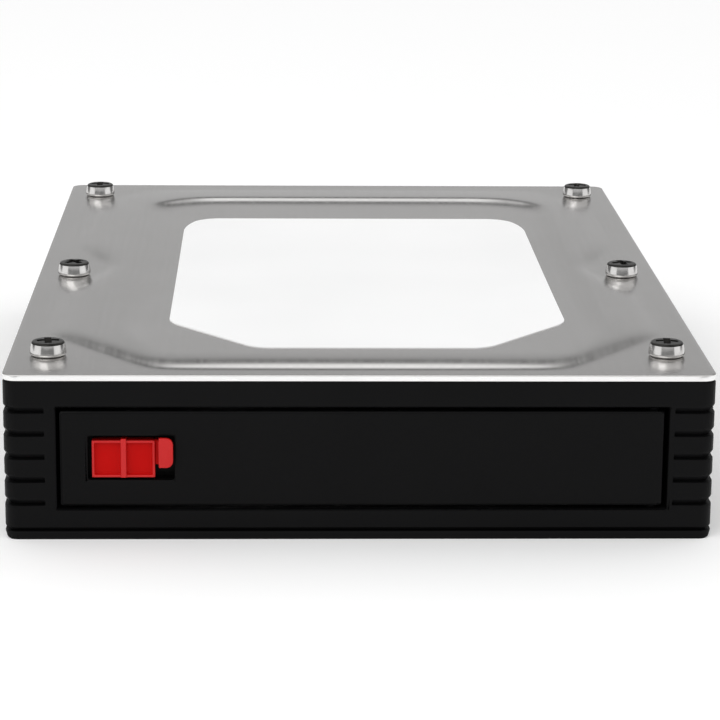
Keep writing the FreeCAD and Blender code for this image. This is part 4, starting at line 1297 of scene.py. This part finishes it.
# Moulded pieces and the inside


@dataclass(frozen=True)
class Shell:
    """One black moulded piece, made from a node of the frame.

    Its faces are cut at places along X, Y and Z. Edges inside its sharp zone stay sharp.
    """

    node: str
    name: str
    body: Body
    edge: float
    cuts: Sequence[Sequence[float]] = ((), (), ())
    sharp_zone: Sequence[float] = ()


@dataclass
class MouldedShells:
    """Black moulded pieces, with soft edges."""

    opening_sides: Point = (-43.25, 44.15)
    opening_ends: Point = (4.5, 19.5)
    groove_end: float = 44.9
    groove_middle: float = 11.84
    groove_pitch: float = 3.41
    groove_rise: float = 1.2
    window_sides: Point = (-38.8, -26.4)
    window_ends: Point = (8.8, 15.4)
    zone_margin: float = 0.05
    rim: float = 23.2
    rim_rise: float = 0.2
    underside: Sequence[float] = (-50.5, 50.5, -0.5, 0.5)
    nose: float = 43.05
    nose_shift: float = 0.33
    reach: float = 0.02

    def shells(self) -> list[Shell]:
        """Pieces to make.

        Returns:
            The pieces in their order.
        """
        ledges = [self.groove_middle + step * self.groove_pitch for step in range(-2, 3)]
        grooves = [level + rise for level in ledges for rise in (0.0, self.groove_rise)]
        bezel_cuts = ((*self.opening_sides, -self.groove_end, self.groove_end), (),
                      (*self.opening_ends, *grooves))
        door_cuts = (self.window_sides, (), self.window_ends)
        opening = self.around(self.opening_sides, self.opening_ends)
        window = self.around(self.window_sides, self.window_ends)
        return [
            Shell("base_tray", "moulded_tray", Body.CHASSIS, 0.18, sharp_zone=self.underside),
            Shell("front_bezel", "grip_bezel", Body.CHASSIS, 0.14, bezel_cuts, opening),
            Shell("front_door", "swing_door", Body.DOOR, 0.2, door_cuts, window),
            Shell("latch_retainer", "latch_back_plate", Body.DOOR, 0.1),
            Shell("left_drive_rail", "left_rail", Body.CHASSIS, 0.12),
            Shell("right_drive_rail", "right_rail", Body.CHASSIS, 0.12),
            Shell("drive_receptacle", "drive_socket", Body.CHASSIS, 0.1),
            Shell("host_plug", "rear_plug", Body.CHASSIS, 0.1),
        ]

    def build(self) -> list[bpy.types.Object]:
        """Make the pieces.

        Returns:
            The finished pieces.
        """
        material = BLACK.material()
        made = []
        for shell in self.shells():
            piece = from_node(shell.node, shell.name, shell.cuts)
            self.raise_rim(piece)
            if shell.body is Body.DOOR:
                self.close_hinge_gap(piece)
            if shell.sharp_zone:
                soften_outside(piece, shell.edge, shell.sharp_zone)
            else:
                soften(piece, shell.edge)
            made.append(dress(piece, [material], shell.body, Slot.BLACK_PLASTIC, shell.node))
        return made

    def around(self, sides: Point, ends: Point) -> tuple[float, ...]:
        """Zone a little larger than an opening.

        Args:
            sides: Left and right side of the opening in millimetres.
            ends: Its lower and upper end.

        Returns:
            Lowest and highest X, then lowest and highest Z.
        """
        margin = self.zone_margin
        return sides[0] - margin, sides[1] + margin, ends[0] - margin, ends[1] + margin

    def raise_rim(self, piece: bpy.types.Object) -> None:
        """Lift the rim under the lid to the underside of its thin sheet.

        Args:
            piece: Piece that may have such a rim.
        """
        with editing(piece, Element.VERT):
            if pick(piece, Element.VERT, lambda vertex: vertex.co.z > (self.rim - self.reach) * MM):
                bpy.ops.transform.translate(value=(0, 0, self.rim_rise * MM))

    def close_hinge_gap(self, piece: bpy.types.Object) -> None:
        """Bring the door's end at the hinge closer to the opening.

        Args:
            piece: Piece of the door.
        """
        with editing(piece, Element.VERT):
            if pick(piece, Element.VERT,
                    lambda vertex: abs(vertex.co.x - self.nose * MM) < self.reach * MM):
                bpy.ops.transform.translate(value=(self.nose_shift * MM, 0, 0))


@dataclass
class LatchSlider:
    """Red slider with two sunken pads, a bead between them and a thumb lip, on a carrier coloured black
    as painted shade.
    """

    left: float = -38.2
    right: float = -29.22
    bottom: float = 9.15
    top: float = 14.6
    front: float = -72.4
    back: float = -70.2
    border: float = 0.34
    pad_depth: float = 0.6
    pad_slope: float = 0.1
    bead: Point = (-34.08, -33.3)
    bead_proud: float = 0.22
    bead_rise: float = 0.28
    neck: Corners = ((-29.5, -71.9, 10.95), (-28.5, -70.2, 14.55))
    stem: Corners = ((-28.62, -73.1, 11.05), (-28.47, -70.2, 14.5))
    lip_low: Sequence[float] = (-28.65, -73.5, 10.85)
    lip_high: Sequence[float] = (-26.62, -72.85, 15.2)
    lip_corner: float = 1.0
    lip_steps: int = 6
    carrier: Sequence[Corners] = (
        ((-42.5, -70.3, 8.1), (-26.0, -69.2, 16.1)),
        ((-42.5, -69.3, 12.7), (-41.1, -64.4, 16.1)),
        ((-42.5, -65.6, 12.7), (-39.3, -64.4, 16.1)),
    )
    edge: float = 0.12
    thumb_edge_steps: int = 3
    highlight_tilt: float = 0.2

    def build(self) -> list[bpy.types.Object]:
        """Make the slider.

        Returns:
            The finished piece.
        """
        thumb = self.thumb_block()
        for part in (block("thumb_neck", *self.neck), block("thumb_stem", *self.stem), self.lip()):
            boolean(thumb, part, Operation.UNION)
        soften(thumb, self.edge, self.thumb_edge_steps)
        carrier, *arms = [block("carrier_plate", low, high) for low, high in self.carrier]
        for arm in arms:
            boolean(carrier, arm, Operation.UNION)
        soften(carrier, self.edge)
        # The fronts of the bead, borders and lip get a painted highlight in a lighter red.
        paint_zones(thumb, (RED, RED_HIGHLIGHT), self.is_highlit)
        # Painted shade: the carrier behind the window is coloured black so that the gap around the thumb
        # reads dark.
        carrier.data.materials.append(BLACK.material())
        slider = merge([thumb, carrier], "red_slider")
        return [dress(slider, [], Body.LATCH, Slot.RED_PLASTIC, "latch_slider")]

    def is_highlit(self, place: Vector, normal: Vector) -> bool:
        """Whether a face gets the painted highlight: the fronts of the bead, the borders and the lip, not
        the sunken pads.

        Args:
            place: Middle of the face in millimetres.
            normal: Its direction.

        Returns:
            True on rubbed faces.
        """
        return normal.y < -self.highlight_tilt and place.y < self.front + self.edge

    def thumb_block(self) -> bpy.types.Object:
        """Make the block in the window.

        Returns:
            The block with its pads sunk and its bead raised.
        """
        low, high = (self.left, self.front, self.bottom), (self.right, self.back, self.top)
        thumb = block("thumb_block", low, high)
        pads = [(self.left + self.border, self.bead[0]), (self.bead[1], self.right - self.border)]
        with editing(thumb):
            for x in (pads[0][0], *self.bead, pads[1][1]):
                cut_across(Axis.X, x)
            for z in (self.bottom + self.border, self.top - self.border):
                cut_across(Axis.Z, z)
            for pad in pads:
                self.choose_front(thumb, pad, self.border)
                bpy.ops.mesh.inset(thickness=self.pad_slope * MM)
                bpy.ops.transform.translate(value=(0, self.pad_depth * MM, 0))
            self.choose_front(thumb, self.bead)
            push_out((0, -self.bead_proud, 0))
            bpy.ops.mesh.select_all(action="DESELECT")
            pick(thumb, Element.FACE, lambda face: face.normal.z > FACING
                 and self.bead[0] * MM < face.calc_center_median().x < self.bead[1] * MM)
            push_out((0, 0, self.bead_rise))
        return thumb

    def choose_front(self, thumb: bpy.types.Object, span: Point, margin: float = 0.0) -> None:
        """Select the front faces whose middle lies in a span of X.

        Args:
            thumb: Block in edit mode.
            span: Left and right end in millimetres.
            margin: Height of the faces left out along the lower and the upper edge, in millimetres.
        """
        left, right = span
        low, high = self.bottom + margin, self.top - margin
        front = self.front + NEAR

        def is_chosen(face: bmesh.types.BMFace) -> bool:
            """Whether a face looks to the front and its middle lies in the span."""
            x, y, z = face.calc_center_median() / MM
            return face.normal.y < -FACING and y < front and left < x < right and low < z < high

        bpy.ops.mesh.select_all(action="DESELECT")
        pick(thumb, Element.FACE, is_chosen)

    def lip(self) -> bpy.types.Object:
        """Make the thumb lip, rounded at its right corners.

        Returns:
            The lip.
        """
        lip = block("thumb_lip", self.lip_low, self.lip_high)
        with editing(lip, Element.EDGE):
            pick(lip, Element.EDGE, self.is_right_corner)
            bpy.ops.mesh.bevel(offset=self.lip_corner * MM, segments=self.lip_steps, affect="EDGES")
        return lip

    def is_right_corner(self, edge: bmesh.types.BMEdge) -> bool:
        """Whether an edge of the lip runs from front to back at its right end.

        Args:
            edge: Edge of the square lip.

        Returns:
            True on the two right corners.
        """
        near, far = (vertex.co / MM for vertex in edge.verts)
        return min(near.x, far.x) > self.lip_high[0] - NEAR and abs(near.y - far.y) > NEAR


@dataclass(frozen=True)
class SmallPart:
    """One small part of the chassis, made from a node of the frame."""

    node: str
    name: str
    finish: Finish
    slot: Slot
    edge: float


@dataclass
class SmallParts:
    """Small metal parts, circuit board and its chips."""

    parts: Sequence[SmallPart] = (
        # The hinge pin takes painted shade in near black.
        SmallPart("hinge_pin", "door_pin", PIN_SHADE, Slot.SCREW_STEEL, 0.15),
        SmallPart("bezel_screws", "flat_screws", PLATED, Slot.SCREW_STEEL, 0.05),
        SmallPart("board_screws", "board_pan_screws", PLATED, Slot.SCREW_STEEL, 0.05),
        SmallPart("side_inserts", "side_brass_inserts", BRASS, Slot.INSERT_BRASS, 0.08),
        SmallPart("bottom_inserts", "bottom_brass_inserts", BRASS, Slot.INSERT_BRASS, 0.08),
        SmallPart("receptacle_contacts", "socket_contacts", GOLD, Slot.CONTACT_GOLD, 0.03),
        SmallPart("plug_contacts", "plug_strips", GOLD, Slot.CONTACT_GOLD, 0.03),
        SmallPart("adapter_board", "circuit_board", MASK, Slot.BOARD_LAMINATE, 0.05),
        SmallPart("board_capacitors", "chip_capacitors", CERAMIC, Slot.CERAMIC, 0.08),
    )

    def build(self) -> list[bpy.types.Object]:
        """Make the parts.

        Returns:
            The finished pieces.
        """
        materials: dict[Finish, bpy.types.Material] = {}
        made = []
        for part in self.parts:
            if part.finish not in materials:
                materials[part.finish] = part.finish.material()
            piece = from_node(part.node, part.name)
            soften(piece, part.edge)
            made.append(dress(piece, [materials[part.finish]], Body.CHASSIS, part.slot, part.node))
        return made


# Studio


@dataclass
class Studio:
    """Pale floor, soft light, surroundings and the camera.

    The surroundings are ramps of grey. Horizon, sky_turn and facing_turn run from the front at nought
    to the back at one, sky and facing run from the level at nought to straight above at one. The
    horizon gives way to the sky between the two heights of horizon_end.
    """

    focal_length: float = 138.1085
    sensor: float = 36.0
    clip_start: float = 10.0
    camera_place: Sequence[float] = (-12.263, -450.925, 122.295)
    yaw: float = 1.8337
    pitch: float = 14.1993
    roll: float = 0.5079
    horizon: Sequence[Point] = ((0.0, 0.25), (0.1, 0.25), (0.15, 1.1), (0.5, 1.1), (0.6, 0.2), (0.9, 0.2),
                                (0.96, 0.52), (1.0, 0.52))
    horizon_end: Point = (0.27, 0.335)
    sky: Sequence[Point] = ((0.335, 0.14), (0.4, 0.14), (0.44, 1.5), (0.6, 1.3), (0.8, 0.95), (1.0, 0.75))
    sky_turn: Sequence[Point] = ((0.0, 0.7), (0.15, 0.7), (0.4, 0.85), (0.6, 1.0), (1.0, 1.0))
    facing: Sequence[Point] = ((0.0, 0.25), (0.2, 0.25), (0.24, 0.6), (0.4, 0.6), (0.5, 1.0), (0.7, 1.0),
                               (1.0, 0.75))
    facing_turn: Sequence[Point] = ((0.0, 1.0), (0.1, 1.0), (0.15, 0.0), (1.0, 0.0))
    key_place: Sequence[float] = (-350.0, -550.0, 750.0)
    key_size: float = 800.0
    key_power: float = 2.5
    floor_size: float = 12000.0
    floor_level: float = 0.02
    floor_dark: Colour = (0.93, 0.93, 0.93)
    floor_light: Colour = (0.95, 0.95, 0.95)
    floor_glow: float = 0.1
    floor_cloud: float = 2.0
    floor_roughness: float = 0.9

    def build(self) -> None:
        """Set the scene."""
        self.floor()
        self.world()
        self.key_lamp()
        self.camera()
        bpy.context.scene.view_settings.view_transform = "Standard"

    def floor(self) -> None:
        """Add the pale floor."""
        floor = begin(bpy.ops.mesh.primitive_plane_add, "studio_floor", size=self.floor_size * MM,
                      location=(0, 0, self.floor_level * MM))
        nodes = Nodes("pale_floor")
        cloud = nodes.noise((self.floor_cloud,) * 3, detail=2.0)
        colour = nodes.blend(cloud, self.floor_dark, self.floor_light)
        nodes.finish(Base_Color=colour, Roughness=self.floor_roughness, Specular_IOR_Level=0.0,
                     Emission_Color=(1, 1, 1, 1), Emission_Strength=self.floor_glow)
        floor.data.materials.append(nodes.material)

    def world(self) -> None:
        """Light the scene by a sky with a dark band and by pale walls at both sides."""
        world = bpy.data.worlds.new("studio")
        bpy.context.scene.world = world
        world.use_nodes = True
        world.node_tree.nodes.clear()
        graph = Graph(world.node_tree)
        coordinates = graph.add("ShaderNodeTexCoord").outputs["Generated"]
        height = graph.add("ShaderNodeSeparateXYZ", Vector=coordinates).outputs["Z"]
        level = graph.vector(VectorStep.MULTIPLY, coordinates, (1.0, 1.0, 0.0))
        heading = graph.vector(VectorStep.NORMALIZE, level)
        backward = graph.add("ShaderNodeSeparateXYZ", Vector=heading).outputs["Y"]
        turn = graph.spread(backward, 0.0, 1.0, -1.0, 1.0)
        horizon = graph.ramp(turn, self.horizon)
        sky = graph.blend(graph.ramp(turn, self.sky_turn), (0.0, 0.0, 0.0), graph.ramp(height, self.sky))
        around = graph.blend(graph.spread(height, 0.0, 1.0, *self.horizon_end), horizon, sky)
        facing = graph.blend(graph.ramp(turn, self.facing_turn), around, graph.ramp(height, self.facing))
        background = graph.add("ShaderNodeBackground", Color=facing)
        graph.add("ShaderNodeOutputWorld", Surface=background.outputs[0])

    def key_lamp(self) -> None:
        """Add the soft lamp that points at the object."""
        data = bpy.data.lights.new("key", "AREA")
        data.size = self.key_size * MM
        data.energy = self.key_power
        lamp = bpy.data.objects.new("key", data)
        bpy.context.scene.collection.objects.link(lamp)
        lamp.location = Vector(self.key_place) * MM
        lamp.rotation_mode = "QUATERNION"
        lamp.rotation_quaternion = (-Vector(self.key_place)).to_track_quat("-Z", "Y")

    def camera(self) -> None:
        """Add the camera at the photograph's viewpoint."""
        yaw, pitch, roll = (math.radians(angle) for angle in (self.yaw, self.pitch, self.roll))
        level = math.cos(pitch)
        ahead = Vector((math.sin(yaw) * level, math.cos(yaw) * level, -math.sin(pitch)))
        right = Vector((math.cos(yaw), -math.sin(yaw), 0))
        up = right.cross(ahead)
        turned_right = right * math.cos(roll) + up * math.sin(roll)
        turned_up = up * math.cos(roll) - right * math.sin(roll)
        data = bpy.data.cameras.new("camera")
        data.lens = self.focal_length
        data.sensor_width = self.sensor
        data.clip_start = self.clip_start * MM
        camera = bpy.data.objects.new("camera", data)
        bpy.context.scene.collection.objects.link(camera)
        axes = Matrix((turned_right, turned_up, -ahead)).transposed()
        camera.matrix_world = Matrix.Translation(Vector(self.camera_place) * MM) @ axes.to_4x4()
        bpy.context.scene.camera = camera


def corners(box: tuple[Vector, Vector]) -> list[list[float]]:
    """A box as plain lists of numbers."""
    return [list(corner) for corner in box]


def main() -> None:
    """Build every piece around the frame and report it."""
    logging.basicConfig(level=logging.INFO, format="%(name)s: %(message)s")
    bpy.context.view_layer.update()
    lid = StampedLid()
    for assembly in (lid, Sticker(lid), LidScrews(lid), MouldedShells(), LatchSlider(), SmallParts()):
        for piece in assembly.build():
            log.info("%s: %d faces", piece.name, len(piece.data.polygons))
    Studio().build()


if __name__ == "__main__":
    main()
